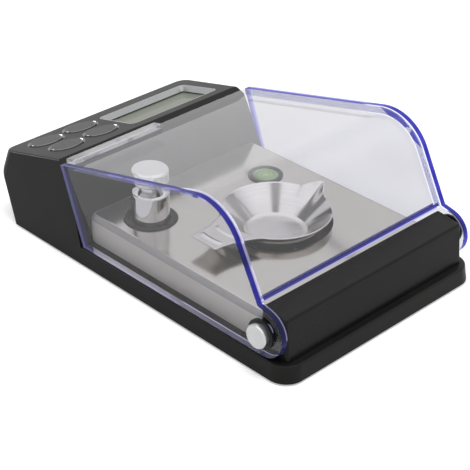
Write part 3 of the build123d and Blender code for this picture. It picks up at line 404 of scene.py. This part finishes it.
# %% [markdown]
# ## Steel, chrome and aluminium
# The deck is thin stainless sheet, brushed across its width: a stretched noise makes the lines and
# an uneven roughness breaks the reflections up. The pan and the dish are spun, so their marks run in rings.
# The calibration weight is turned and plated, almost a mirror. The hinge pins are matt aluminium.
# The press rubs the deck's bend and sides matt, and the bend also gets a painted grey shade. The direction of
# the surface tells them from the top.

# %% Centres of the round parts, read from the frame
def centre_of(node):
    low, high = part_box(node)
    return (low + high) / 2


pan_centre = centre_of("weighing_dish")
weight_centre = centre_of("calibration_weight")
pin_centre = centre_of("hinge_pin_right")
print("pan centre in mm:", [round(v / MM, 1) for v in pan_centre])

# %% Metals
deck_steel = patterned(
    "brushed_deck_steel", brushed_lines, (0.575, 0.548, 0.508, 1), (0.615, 0.588, 0.548, 1),
    (0.13, 0.18), (0.015, 0.00002), {"Stretch": (90.0, 7000.0, 7000.0)}, Metallic=1.0,
)
dish_steel = patterned(
    "spun_dish_steel", turned_rings, (0.56, 0.54, 0.52, 1), (0.66, 0.64, 0.61, 1),
    (0.10, 0.16), (0.03, 0.00002), {"Centre": pan_centre, "Rings per Metre": 2600.0}, Metallic=1.0,
)
pan_steel = patterned(
    "spun_pan_steel", turned_rings, (0.59, 0.575, 0.56, 1), (0.64, 0.625, 0.61, 1),
    (0.13, 0.18), (0.012, 0.00001), {"Centre": pan_centre, "Rings per Metre": 2200.0}, Metallic=1.0,
)
weight_chrome = patterned(
    "plated_weight", turned_rings, (0.64, 0.64, 0.635, 1), (0.71, 0.71, 0.705, 1),
    (0.02, 0.05), (0.03, 0.00001), {"Centre": weight_centre, "Rings per Metre": 5000.0}, Metallic=1.0,
)
pin_aluminium = patterned(
    "turned_pin_aluminium", turned_rings, (0.60, 0.61, 0.61, 1), (0.70, 0.71, 0.71, 1),
    (0.26, 0.36), (0.12, 0.00002),
    {"Centre": pin_centre, "Across": (0.0, 1.0, 1.0), "Rings per Metre": 4200.0}, Metallic=1.0,
)
screw_steel = patterned(
    "plain_screw_steel", moulded_grain, grey(0.48), grey(0.6), (0.28, 0.42), (0.1, 0.00002), Metallic=1.0,
)
contact_nickel = patterned(
    "contact_nickel", brushed_lines, (0.52, 0.50, 0.46, 1), (0.66, 0.64, 0.58, 1), (0.22, 0.34), (0.1, 0.00002),
    Metallic=1.0,
)
cell_aluminium = patterned(
    "milled_beam_aluminium", brushed_lines, (0.62, 0.62, 0.63, 1), (0.76, 0.76, 0.77, 1),
    (0.3, 0.42), (0.2, 0.00003), {"Stretch": (4000.0, 120.0, 4000.0)}, Metallic=1.0,
)
bezel_silver = patterned(
    "silver_bezel_lacquer", moulded_grain, (0.37, 0.38, 0.387, 1), (0.42, 0.43, 0.437, 1),
    (0.24, 0.32), (0.06, 0.00003), {"Grain per Metre": 5200.0}, Metallic=0.7,
)
print("finishes so far:", len(bpy.data.materials))

# %% The matt bend and sides of the deck, with painted shade on the bend
BEND_PAINTED_SHADE = (0.36, 0.36, 0.355, 1)
TOP_ENDS = (0.97, 0.995)
SIDE_ENDS = (0.03, 0.12)
DRAWN_ROUGHNESS = 0.6
SIDE_METALLIC = 0.5


def dull_sides_and_paint_bend_shade(material):
    """Rougher off the flat top, a painted grey shade on the bend, and less of a mirror on the upright sides."""
    tree = material.node_tree
    shader = tree.nodes["Principled BSDF"]
    flatness = math_node(tree, "ABSOLUTE", turned_to(tree, UP))
    off_the_top = map_range(tree, flatness, *TOP_ENDS, 1.0, 0.0)
    off_the_side = map_range(tree, flatness, *SIDE_ENDS)
    brushed = shader.inputs["Roughness"].links[0].from_socket
    steel = shader.inputs["Base Color"].links[0].from_socket
    rough = map_range(tree, off_the_top, 0.0, 1.0, brushed, DRAWN_ROUGHNESS)
    # Painted shade: the bend's steel colour turns grey.
    bend_shaded = mix_colour(tree, both(tree, off_the_top, off_the_side), steel, BEND_PAINTED_SHADE)
    link(material, rough, shader.inputs["Roughness"])
    link(material, bend_shaded, shader.inputs["Base Color"])
    link(material, map_range(tree, off_the_side, 0.0, 1.0, SIDE_METALLIC, 1.0), shader.inputs["Metallic"])
    print("matt bend and sides:", material.name)


dull_sides_and_paint_bend_shade(deck_steel)

# %% [markdown]
# ## Electrical parts
# They hide inside, but a cut-away or an opened battery door shows them: a green solder-masked board,
# amber ribbon film, and two cells with a plain grey wrap and a bare steel end.

# %% Board, ribbon and cell wrap
board_green = patterned(
    "board_solder_mask", moulded_grain, (0.014, 0.10, 0.035, 1), (0.024, 0.15, 0.055, 1),
    (0.25, 0.35), (0.1, 0.00003), {"Grain per Metre": 600.0},
)
ribbon_film = patterned(
    "ribbon_film", brushed_lines, (0.36, 0.15, 0.025, 1), (0.52, 0.26, 0.06, 1), (0.2, 0.3), (0.1, 0.00003),
    {"Stretch": (2500.0, 60.0, 60.0)},
)


def from_middle(tree):
    """Distance from the middle plane of the scale, in metres."""
    return math_node(tree, "ABSOLUTE", along(tree, ACROSS))


def make_cell_wrap():
    cell_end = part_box("batteries")[1].x
    material, shader = start_material("cell_wrap", Coat_Weight=0.4, Coat_Roughness=0.15)
    tree = material.node_tree
    steel = map_range(tree, from_middle(tree), cell_end - 1.7 * MM, cell_end - 1.5 * MM)
    grain = add_node(tree, "ShaderNodeTexNoise", Scale=220.0, Detail=3.0)
    link(material, object_place(tree), grain.inputs["Vector"])
    wrap = mix_colour(tree, grain.outputs["Fac"], (0.13, 0.15, 0.18, 1), (0.18, 0.20, 0.24, 1))
    link(material, mix_colour(tree, steel, wrap, (0.6, 0.6, 0.58, 1)), shader.inputs["Base Color"])
    link(material, steel, shader.inputs["Metallic"])
    link(material, map_range(tree, grain.outputs["Fac"], 0.3, 0.7, 0.28, 0.4), shader.inputs["Roughness"])
    return material


cell_wrap = make_cell_wrap()
print("inner finishes:", board_green.name, ribbon_film.name, cell_wrap.name)

# %% [markdown]
# ## The display glass and the level
# A switched-off display is a grey-green film under glass: dull underneath, sharp on top, which is what
# a clear coat over a rough base gives. The level is a small pot of green liquid. Its two
# printed rings are drawn with the distance from the pot's middle.

# %% Display film
def make_display():
    material, shader = start_material("display_film", Roughness=0.5, Coat_Weight=0.45, Coat_Roughness=0.04)
    tree = material.node_tree
    cloud = add_node(tree, "ShaderNodeTexNoise", Scale=30.0, Detail=2.0)
    link(material, object_place(tree), cloud.inputs["Vector"])
    fine = add_node(tree, "ShaderNodeTexNoise", Scale=4000.0, Detail=1.0)
    link(material, object_place(tree), fine.inputs["Vector"])
    tone = blend(tree, fine.outputs["Fac"], cloud.outputs["Fac"], 0.3)
    film = mix_colour(tree, tone, (0.135, 0.148, 0.112, 1), (0.175, 0.190, 0.146, 1))
    link(material, film, shader.inputs["Base Color"])
    return material


# %% Level liquid with its printed rings
RING_RADII = (1.9 * MM, 3.4 * MM)
RING_LINE = 0.18 * MM
PALE_MIDDLE, DARK_RIM = 1.5 * MM, 5.2 * MM


def make_level_liquid():
    material, shader = start_material("level_liquid", Roughness=0.15, Coat_Weight=1.0, Coat_Roughness=0.02)
    tree = material.node_tree
    radius = distance_from(tree, centre_of("level_vial"))
    lines = 0.0
    for ring in RING_RADII:
        away = math_node(tree, "ABSOLUTE", math_node(tree, "SUBTRACT", radius, ring))
        lines = math_node(tree, "ADD", map_range(tree, away, RING_LINE / 2, RING_LINE, 1.0, 0.0), lines)
    depth = map_range(tree, radius, PALE_MIDDLE, DARK_RIM)
    liquid = mix_colour(tree, depth, (0.30, 0.44, 0.18, 1), (0.19, 0.29, 0.13, 1))
    link(material, mix_colour(tree, lines, liquid, (0.10, 0.15, 0.07, 1)), shader.inputs["Base Color"])
    return material


display_film = make_display()
level_liquid = make_level_liquid()
print("display and level:", display_film.name, level_liquid.name)

# %% [markdown]
# ## Clear acrylic with blue edges
# The cover is cut and bent from clear sheet. Light that enters the sheet runs along it and comes out at
# the cut edges, which is why those look deep indigo while the broad faces are almost clear. The mesh
# normal tells a cut face from a broad one. A cut face is a tinted glass that bends light. Its index is
# lower than that of real acrylic, because a full one mirrors the white room over the indigo. A broad face
# is treated as a thin pane: what lies behind is dimmed a little but not bent, and a mirror layer grows
# with the slant of view. Shadow and bounce rays go straight through, so that the chamber under the
# cover is lit without noise. The cuts carry a little painted glow, an emission that stands in for the light
# that the
# sheet gathers: indigo on the cut, lavender along the glue, and a nearly white painted highlight on the sharp
# corners. Cuts that
# face down or backwards are only seen through the panel, where they mirror the black parts below, so
# they get a dark pane, a painted reflection of those parts. The sheet darkens to indigo just above its front
# lip.

# %% What the acrylic material measures
PANE_TINT = (0.925, 0.925, 0.941, 1)
EDGE_INDIGO = (0.0006, 0.0006, 0.16, 1)
EDGE_LIGHTER = (0.003, 0.003, 0.28, 1)
PAINTED_DARK_REFLECTION = (0.05, 0.05, 0.08, 1)
JOINT_LAVENDER = (0.085, 0.075, 0.52, 1)
LIP_INDIGO = (0.045, 0.045, 0.36, 1)
# Painted highlight: the nearly white colour of the pale lines
PAINTED_HIGHLIGHT_WHITE = (0.90, 0.90, 0.97, 1)
# Painted glow: emission colours of the cuts, which are no lamp
PAINTED_EDGE_GLOW = (0.012, 0.012, 0.055, 1)
PAINTED_JOINT_GLOW = (0.06, 0.06, 0.18, 1)
PAINTED_HIGHLIGHT_GLOW = (0.20, 0.20, 0.34, 1)
STRAIGHT_ON_MIRROR = 0.0387
BROAD_FROM = (0.55, 0.75)
TURNED_FROM = (0.5, 0.75)
CUT_ROUGHNESS = 0.10
SMUDGES = 0.012


# %% Which face a ray meets, and which rays see it
def on_broad_face(tree, broad_axes):
    broad = 0.0
    for axis in broad_axes:
        broad = either(tree, broad, math_node(tree, "ABSOLUTE", turned_to(tree, axis)))
    return map_range(tree, broad, *BROAD_FROM)


def looked_at(tree):
    """One for rays that see the cover, none for shadow rays and rays that light or mirror the inside."""
    path = tree.nodes.new("ShaderNodeLightPath").outputs
    unseen = either(tree, path["Is Shadow Ray"], path["Is Diffuse Ray"])
    mirrored = both(tree, path["Is Glossy Ray"], inverse(tree, path["Is Transmission Ray"]))
    return inverse(tree, either(tree, unseen, mirrored))


def mix_shaders(tree, share, first, second):
    mixed = tree.nodes.new("ShaderNodeMixShader")
    for socket, source in zip(mixed.inputs, (share, first, second)):
        tree.links.new(source, socket)
    return mixed.outputs["Shader"]


# %% One acrylic material: glass where it is cut, a thin pane elsewhere
def make_acrylic(
    name, broad_axes, colours, hidden_sides, dark_band=None, painted_highlight_lines=None, glued=None, shine=0.0
):
    """Colours are the two tones of a cut face. The other arguments are masks, or sides that are hidden."""
    material, shader = start_material(
        name, Transmission_Weight=1.0, IOR=1.2, Specular_IOR_Level=0.25, Emission_Strength=1.0
    )
    tree = material.node_tree
    cut = inverse(tree, on_broad_face(tree, broad_axes))
    hidden = 0.0
    for side in hidden_sides:
        hidden = either(tree, hidden, map_range(tree, turned_to(tree, side), *TURNED_FROM))
    hidden = both(tree, cut, hidden)
    cut = math_node(tree, "SUBTRACT", cut, hidden)
    streaks = add_node(tree, "ShaderNodeTexNoise", Scale=160.0, Detail=3.0)
    link(material, object_place(tree), streaks.inputs["Vector"])
    colour = mix_colour(tree, map_range(tree, streaks.outputs["Fac"], 0.35, 0.75), *colours)
    # Painted glow: the cut faces emit a little light of their own, though they are no lamp.
    glow = PAINTED_EDGE_GLOW
    if glued:
        joint = glued(tree)
        colour = mix_colour(tree, joint, colour, JOINT_LAVENDER)
        glow = mix_colour(tree, joint, glow, PAINTED_JOINT_GLOW)
    behind = PANE_TINT
    if dark_band:
        behind = mix_colour(tree, dark_band(tree), behind, LIP_INDIGO)
    # Painted reflection: cuts that face down or backwards dim what lies behind to near black.
    if hidden_sides:
        behind = mix_colour(tree, hidden, behind, PAINTED_DARK_REFLECTION)
    # Painted highlight: nearly white lines on the corners, counted as cut and given a brighter glow.
    if painted_highlight_lines:
        pale = painted_highlight_lines(tree)
        colour = mix_colour(tree, pale, colour, PAINTED_HIGHLIGHT_WHITE)
        cut = either(tree, cut, pale)
        glow = mix_colour(tree, pale, glow, PAINTED_HIGHLIGHT_GLOW)
    feed(tree, glow, shader.inputs["Emission Color"])
    link(material, mix_colour(tree, cut, PANE_TINT, colour), shader.inputs["Base Color"])
    smudge = map_range(tree, streaks.outputs["Fac"], 0.4, 0.75, 0.0, SMUDGES)
    link(material, math_node(tree, "MULTIPLY_ADD", cut, CUT_ROUGHNESS, smudge), shader.inputs["Roughness"])
    clear = add_node(tree, "ShaderNodeBsdfTransparent")
    feed(tree, behind, clear.inputs["Color"])
    lay_the_mirror(tree, shader, clear, cut, STRAIGHT_ON_MIRROR + shine)
    return material


def lay_the_mirror(tree, shader, clear, cut, straight_on):
    """The mirror layer rises with the fifth power of the slant of view, as Schlick's formula says."""
    seen = looked_at(tree)
    slant = add_node(tree, "ShaderNodeLayerWeight", Blend=0.5).outputs["Facing"]
    rising = math_node(tree, "POWER", slant, 5.0)
    mirror = math_node(tree, "MULTIPLY_ADD", rising, 1 - straight_on, straight_on)
    gloss = add_node(tree, "ShaderNodeBsdfGlossy", Color=(1, 1, 1, 1), Roughness=0.02)
    pane = mix_shaders(tree, both(tree, mirror, seen), clear.outputs["BSDF"], gloss.outputs["BSDF"])
    whole = mix_shaders(tree, both(tree, cut, seen), pane, shader.outputs["BSDF"])
    tree.links.new(whole, tree.nodes["Material Output"].inputs["Surface"])


# %% The three acrylic pieces and their lines
COVER_SLOPE = math.radians(13.9)
FRONT_FALL = math.radians(-62.1)
BEND_START, BEND_FULL = 24 * MM, 28 * MM
LIP_BAND = 1.7 * MM
LIP_HIGHLIGHT_WIDTH = 0.45 * MM
END_LINE = 0.6 * MM
FOOT_LINE = 0.5 * MM
GLUE_WIDTH = 1.7 * MM
LIP_CORNER_HEIGHT = 1.3 * MM
SOFT = 0.1 * MM


def facing(slope):
    return (0.0, -math.sin(slope), math.cos(slope))


sheet_low, sheet_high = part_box("cover_sheet")
side_inner_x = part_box("cover_side_right")[0].x
down_front = Vector((0.0, math.cos(FRONT_FALL), math.sin(FRONT_FALL)))
front_lip = down_front.dot((0.0, sheet_high.y, sheet_low.z + LIP_CORNER_HEIGHT))
SHEET_FACINGS = [facing(COVER_SLOPE + (FRONT_FALL - COVER_SLOPE) * step / 4) for step in range(5)]


def past(tree, place, limit):
    """One beyond a limit, none before it, with a soft step between."""
    return map_range(tree, place, limit - SOFT, limit)


def in_bend(tree):
    return map_range(tree, along(tree, LENGTHWAYS), BEND_START, BEND_FULL)


def on_top(tree):
    return map_range(tree, turned_to(tree, UP), 0.0, 0.1)


def lip_band(tree):
    return both(tree, on_top(tree), past(tree, along(tree, down_front), front_lip - LIP_BAND))


# Painted highlights: pale lines along the front lip and on the ends of the bend.
def sheet_painted_highlights(tree):
    lip = past(tree, along(tree, down_front), front_lip - LIP_HIGHLIGHT_WIDTH)
    end = both(tree, past(tree, from_middle(tree), sheet_high.x - END_LINE), in_bend(tree))
    return both(tree, on_top(tree), either(tree, lip, end))


def glue_line(tree):
    """One on the outer part of the side panel's top edge, where the glue of the sheet ends."""
    outer = past(tree, from_middle(tree), side_inner_x + GLUE_WIDTH)
    return both(tree, both(tree, outer, inverse(tree, in_bend(tree))), on_top(tree))


def side_painted_highlights(tree):
    """Painted highlights, pale lines on the inner corners: along the foot and the rear, and on top where the
    panel bends down.
    """
    looks_down = map_range(tree, turned_to(tree, UP), -0.75, -0.5, 1.0, 0.0)
    looks_back = map_range(tree, turned_to(tree, BACKWARDS), *TURNED_FROM)
    inner_foot = inverse(tree, past(tree, from_middle(tree), side_inner_x + FOOT_LINE))
    foot = both(tree, either(tree, looks_down, looks_back), inner_foot)
    inner = inverse(tree, past(tree, from_middle(tree), side_inner_x + END_LINE))
    corner = both(tree, both(tree, inner, in_bend(tree)), on_top(tree))
    return either(tree, foot, corner)


indigo = (EDGE_INDIGO, EDGE_LIGHTER)
lavender = (JOINT_LAVENDER, JOINT_LAVENDER)
side_acrylic = make_acrylic(
    "side_panel_acrylic", [ACROSS], indigo, [DOWNWARDS, BACKWARDS], None, side_painted_highlights, glue_line
)
sheet_acrylic = make_acrylic("bent_sheet_acrylic", SHEET_FACINGS, indigo, [down_front], lip_band, sheet_painted_highlights)
strip_facings = [ACROSS, facing(COVER_SLOPE), facing(COVER_SLOPE + math.pi / 2)]
strip_acrylic = make_acrylic("lift_strip_acrylic", strip_facings, lavender, [], shine=0.2)
print("acrylic finishes made:", side_acrylic.name, sheet_acrylic.name, strip_acrylic.name)

# %% [markdown]
# ## Dressing the rigid parts
# Each part keeps its shape from the frame and only swaps its material slots.

# %% Which part wears which finish
FINISHES = {
    black_shell: ["main_body", "bottom_plate", "battery_door"],
    hinge_gloss: ["hinge_bar"],
    button_satin: BUTTONS,
    well_satin: ["dish_well", "weight_cup", "hinge_washer_right", "hinge_washer_left"],
    level_ring: ["level_cup"],
    switch_plastic: ["tact_switches"],
    foot_rubber: ["rubber_feet"],
    strip_rubber: ["lcd_connector_strips"],
    carrier_white: ["dish_carrier"],
    backlight_white: ["lcd_backlight"],
    deck_steel: ["steel_deck"],
    dish_steel: ["weighing_dish"],
    pan_steel: ["weighing_pan"],
    weight_chrome: ["calibration_weight"],
    pin_aluminium: ["hinge_pin_right", "hinge_pin_left"],
    screw_steel: [
        "bottom_screws", "board_screws", "carrier_screws", "load_cell_screws", "hinge_bar_screws",
    ],
    contact_nickel: ["battery_contacts"],
    cell_aluminium: ["load_cell", "load_cell_spacer"],
    bezel_silver: ["lcd_bezel"],
    board_green: ["main_board"],
    ribbon_film: ["load_cell_ribbon"],
    cell_wrap: ["batteries"],
    display_film: ["lcd_glass"],
    level_liquid: ["level_vial"],
    side_acrylic: ["cover_side_right", "cover_side_left"],
    sheet_acrylic: ["cover_sheet"],
    strip_acrylic: ["cover_lift_strip"],
}


def dress(piece, material):
    piece.data.materials.clear()
    piece.data.materials.append(material)


dressed = 0
for material, names in FINISHES.items():
    for name in names:
        dress(nodes[name], material)
        dressed += 1
print("dressed parts:", dressed, "of", len(nodes))

# %% [markdown]
# ## The loose pan
# The pan is a thin spun bowl with a pinched pouring spout on one side and a flat finger tab with two
# pressed ribs on the other. It starts as a disc for the floor. Its rim is extruded outwards ring by ring,
# and the points near the spout are pulled out and up, more towards the rim and less towards
# the floor. The tab is the rim extruded on, row by row, into a square end. Solidify gives the sheet its
# thickness, and a subdivision surface rounds the folds.

# %% Sizes of the pan
PAN_FLOOR_RADIUS = 12.4 * MM
PAN_RIM_RADIUS = 22.2 * MM
PAN_SHEET = 0.6 * MM
PAN_FLOOR_INSET = 0.5 * MM
PAN_SEGMENTS = 144
PAN_RINGS = [0.0, 0.04, 0.2, 0.4, 0.6, 0.8, 0.96, 1.0]
SPOUT_REACH = 27.2 * MM
SPOUT_RISE = 2.3 * MM
SPOUT_HALF_ANGLE = math.radians(15.5)
RISE_HALF_ANGLE = math.radians(21)
pan_low, pan_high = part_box("weighing_pan")
PAN_DEPTH = pan_high.z - SPOUT_RISE - pan_low.z
print("pan depth in mm:", round(PAN_DEPTH / MM, 2))


# %% The bowl, ring by ring
def pull_ring(mesh, edges, radius, height):
    grown = bmesh.ops.extrude_edge_only(mesh, edges=edges)["geom"]
    points = [g for g in grown if isinstance(g, bmesh.types.BMVert)]
    for point in points:
        flat = Vector((point.co.x, point.co.y)).normalized() * radius
        point.co = Vector((flat.x, flat.y, height))
    return [g for g in grown if isinstance(g, bmesh.types.BMEdge)]


def make_bowl():
    mesh = bmesh.new()
    bmesh.ops.create_circle(mesh, cap_ends=True, radius=PAN_FLOOR_RADIUS, segments=PAN_SEGMENTS)
    bmesh.ops.inset_region(mesh, faces=mesh.faces[:], thickness=PAN_FLOOR_INSET)
    ring = [edge for edge in mesh.edges if edge.is_boundary]
    for share in PAN_RINGS[1:]:
        radius = PAN_FLOOR_RADIUS + (PAN_RIM_RADIUS - PAN_FLOOR_RADIUS) * share
        ring = pull_ring(mesh, ring, radius, PAN_DEPTH * share)
    return mesh


# %% The pinched spout: the pull is strongest at the rim and in the crease, and fades out below
PINCH_START = 0.35
PINCH_FADE = 1.4
PINCH_SHARPNESS = 1.5
CREASE_AT_RIM = 0.10
CREASE_WIDENING = 0.6


def pinch_spout(mesh):
    for point in mesh.verts:
        height = point.co.z / PAN_DEPTH
        if height <= 0 or point.co.x > 0:
            continue
        angle = abs(math.atan2(point.co.y, -point.co.x))
        fade = max(0.0, (height - PINCH_START) / (1 - PINCH_START)) ** PINCH_FADE
        crease = CREASE_AT_RIM + CREASE_WIDENING * (1 - min(1.0, height))
        share = angle / SPOUT_HALF_ANGLE
        share = (math.hypot(share, crease) - crease) / (math.hypot(1, crease) - crease)
        pull = max(0.0, 1 - share) ** PINCH_SHARPNESS * fade
        rise = max(0.0, 1 - (angle / RISE_HALF_ANGLE) ** 2) ** 2 * fade
        radius = math.hypot(point.co.x, point.co.y)
        stretched = radius + pull * (SPOUT_REACH - PAN_RIM_RADIUS)
        point.co.x *= stretched / radius
        point.co.y *= stretched / radius
        point.co.z += rise * SPOUT_RISE


# %% The finger tab, drawn out of the rim row by row
TAB_REACH = 38.8 * MM
TAB_HALF_WIDTH = 6.7 * MM
TAB_ROOT_ANGLE = math.radians(32.6)
TAB_RISE = 1.1 * MM
TAB_NARROWING = 2.2
RIB_PLACES = (0.31, 0.766)
RIB_HEIGHT = 0.7 * MM
RIB_HALF_LENGTH = 5.0 * MM
TAB_ROWS = [0.06, 0.16, 0.26, 0.31, 0.36, 0.48, 0.62, 0.716, 0.766, 0.816, 0.9, 0.97, 1.0]


def draw_out_tab(mesh):
    def turn(point):
        return math.atan2(point.co.y, point.co.x)

    ring = [
        edge for edge in mesh.edges
        if edge.is_boundary and all(abs(turn(point)) < TAB_ROOT_ANGLE for point in edge.verts)
    ]
    angle_of = {point: turn(point) for edge in ring for point in edge.verts}
    widest = max(angle_of.values())
    for share in TAB_ROWS:
        grown = bmesh.ops.extrude_edge_only(mesh, edges=ring)["geom"]
        ring = [g for g in grown if isinstance(g, bmesh.types.BMEdge)]
        placed = {}
        for point in (g for g in grown if isinstance(g, bmesh.types.BMVert)):
            old = min(angle_of, key=lambda other: (other.co - point.co).length)
            placed[point] = angle_of[old]
        for point, angle in placed.items():
            narrowing = 1 - (1 - share) ** TAB_NARROWING
            y_at_rim, y_at_end = PAN_RIM_RADIUS * math.sin(angle), TAB_HALF_WIDTH * angle / widest
            y = y_at_rim * (1 - narrowing) + y_at_end * narrowing
            x = PAN_RIM_RADIUS * math.cos(angle) * (1 - share) + TAB_REACH * share
            ribbed = share in RIB_PLACES and abs(y) < RIB_HALF_LENGTH
            point.co = Vector((x, y, PAN_DEPTH + TAB_RISE * share + (RIB_HEIGHT if ribbed else 0.0)))
        angle_of = placed


# %% From bmesh to a piece that rides on a body
def add_object(name, mesh, material):
    data = bpy.data.meshes.new(name)
    mesh.to_mesh(data)
    mesh.free()
    data.materials.append(material)
    piece = bpy.data.objects.new(name, data)
    bpy.context.scene.collection.objects.link(piece)
    return piece


bowl = make_bowl()
pinch_spout(bowl)
draw_out_tab(bowl)
bmesh.ops.recalc_face_normals(bowl, faces=bowl.faces[:])
bmesh.ops.translate(bowl, verts=bowl.verts[:], vec=(pan_centre.x, pan_centre.y, pan_low.z))
for face in bowl.faces:
    face.smooth = True
pan = add_object("spouted_pan", bowl, pan_steel)
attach(pan, "pan")
wall = pan.modifiers.new("sheet thickness", "SOLIDIFY")
wall.thickness = PAN_SHEET
wall.offset = 1.0
soften = pan.modifiers.new("rounded folds", "SUBSURF")
soften.levels = soften.render_levels = 1
soften.use_limit_surface = False
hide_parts("weighing_pan")
print("pan points before smoothing:", len(pan.data.vertices))

# %% [markdown]
# ## Floor, light and background
# The floor is a wide pale sheet. A little extra glow that only the camera sees, straight or through the
# cover, lifts it to white and leaves the soft shadow under the scale. The world is white for
# the camera, and for glossy rays it has a few darker round spots, like the gaps between softboxes, so
# that polished metal has something to show. One softbox lights the broad top. A second one stands on
# the side of the buttons. Light linking lets it reach only the housing and the buttons, where it leaves
# small bright crescents.

# %% Floor
FLOOR_GLOW = 0.35
FLOOR_GLOW_THROUGH = 0.12
FLOOR_HALF_SIZE = 3.0


def make_floor():
    material, shader = start_material("studio_floor", Roughness=0.9)
    tree = material.node_tree
    noise = add_node(tree, "ShaderNodeTexNoise", Scale=3.0, Detail=2.0)
    link(material, object_place(tree), noise.inputs["Vector"])
    link(material, mix_colour(tree, noise.outputs["Fac"], grey(0.84), grey(0.86)), shader.inputs["Base Color"])
    path = tree.nodes.new("ShaderNodeLightPath").outputs
    through = math_node(tree, "GREATER_THAN", path["Transparent Depth"], 0.5)
    through = either(tree, through, path["Is Transmission Ray"])
    seen = either(tree, path["Is Camera Ray"], path["Is Transmission Ray"])
    glow = both(tree, seen, map_range(tree, through, 0.0, 1.0, FLOOR_GLOW, FLOOR_GLOW_THROUGH))
    shader.inputs["Emission Color"].default_value = (1, 1, 1, 1)
    link(material, glow, shader.inputs["Emission Strength"])
    mesh = bmesh.new()
    bmesh.ops.create_grid(mesh, x_segments=1, y_segments=1, size=FLOOR_HALF_SIZE)
    return add_object("floor", mesh, material)


floor = make_floor()
print("floor half size in metres:", FLOOR_HALF_SIZE)

# %% World
# Direction, inner and outer size of each darker spot in degrees, and how much light is left there
DARK_SPOTS = [
    ((0.325, 0.352, 0.882), 1.5, 11.0, 0.3),
    ((0.40, -0.74, 0.54), 12.0, 19.0, 0.25),
    ((-0.88, 0.26, 0.40), 4.0, 16.0, 0.55),
]
SKY_RISE = (0.55, 0.8)
SKY_TOP = 1.5
AMBIENT = 0.62


def make_world():
    world = bpy.data.worlds.new("studio")
    world.use_nodes = True
    bpy.context.scene.world = world
    tree = world.node_tree
    base = tree.nodes["Background"]
    direction = tree.nodes.new("ShaderNodeTexCoord").outputs["Generated"]
    height = vector_node(tree, "DOT_PRODUCT", direction, UP, "Value")
    shade = map_range(tree, height, *SKY_RISE, 1.0, SKY_TOP)
    for spot, inner, outer, left_over in DARK_SPOTS:
        nearness = vector_node(tree, "DOT_PRODUCT", direction, Vector(spot).normalized(), "Value")
        edge = (math.cos(math.radians(outer)), math.cos(math.radians(inner)))
        shade = both(tree, shade, map_range(tree, nearness, *edge, 1.0, left_over))
    path = tree.nodes.new("ShaderNodeLightPath").outputs
    seen = either(tree, path["Is Camera Ray"], path["Is Transmission Ray"])
    ambient = map_range(tree, path["Is Glossy Ray"], 0.0, 1.0, AMBIENT, shade)
    strength = map_range(tree, seen, 0.0, 1.0, ambient, 1.0)
    base.inputs["Color"].default_value = (1, 1, 1, 1)
    tree.links.new(strength, base.inputs["Strength"])
    print("world made, darker spots:", len(DARK_SPOTS))


make_world()


# %% Softboxes
def add_softbox(name, place, target, width, height, power):
    lamp = bpy.data.lights.new(name, "AREA")
    lamp.shape = "RECTANGLE"
    lamp.size = width
    lamp.size_y = height
    lamp.energy = power
    box = bpy.data.objects.new(name, lamp)
    box.location = place
    box.rotation_euler = (Vector(target) - Vector(place)).to_track_quat("-Z", "Y").to_euler()
    bpy.context.scene.collection.objects.link(box)
    return box


def light_only(lamp, names):
    """Light linking: the lamp lights and is mirrored by these parts alone."""
    lit = bpy.data.collections.new(lamp.name + "_lights")
    for name in names:
        lit.objects.link(nodes[name])
    lamp.light_linking.receiver_collection = lit


overhead = add_softbox("overhead_softbox", (0.10, 0.15, 0.95), (0, 0, 0.02), 0.55, 0.40, 5.0)
overhead.visible_glossy = False
left = add_softbox("left_softbox", (0.37, -0.75, 0.34), (0, -0.05, 0.03), 0.30, 0.30, 3.0)
light_only(left, ["main_body"] + BUTTONS)
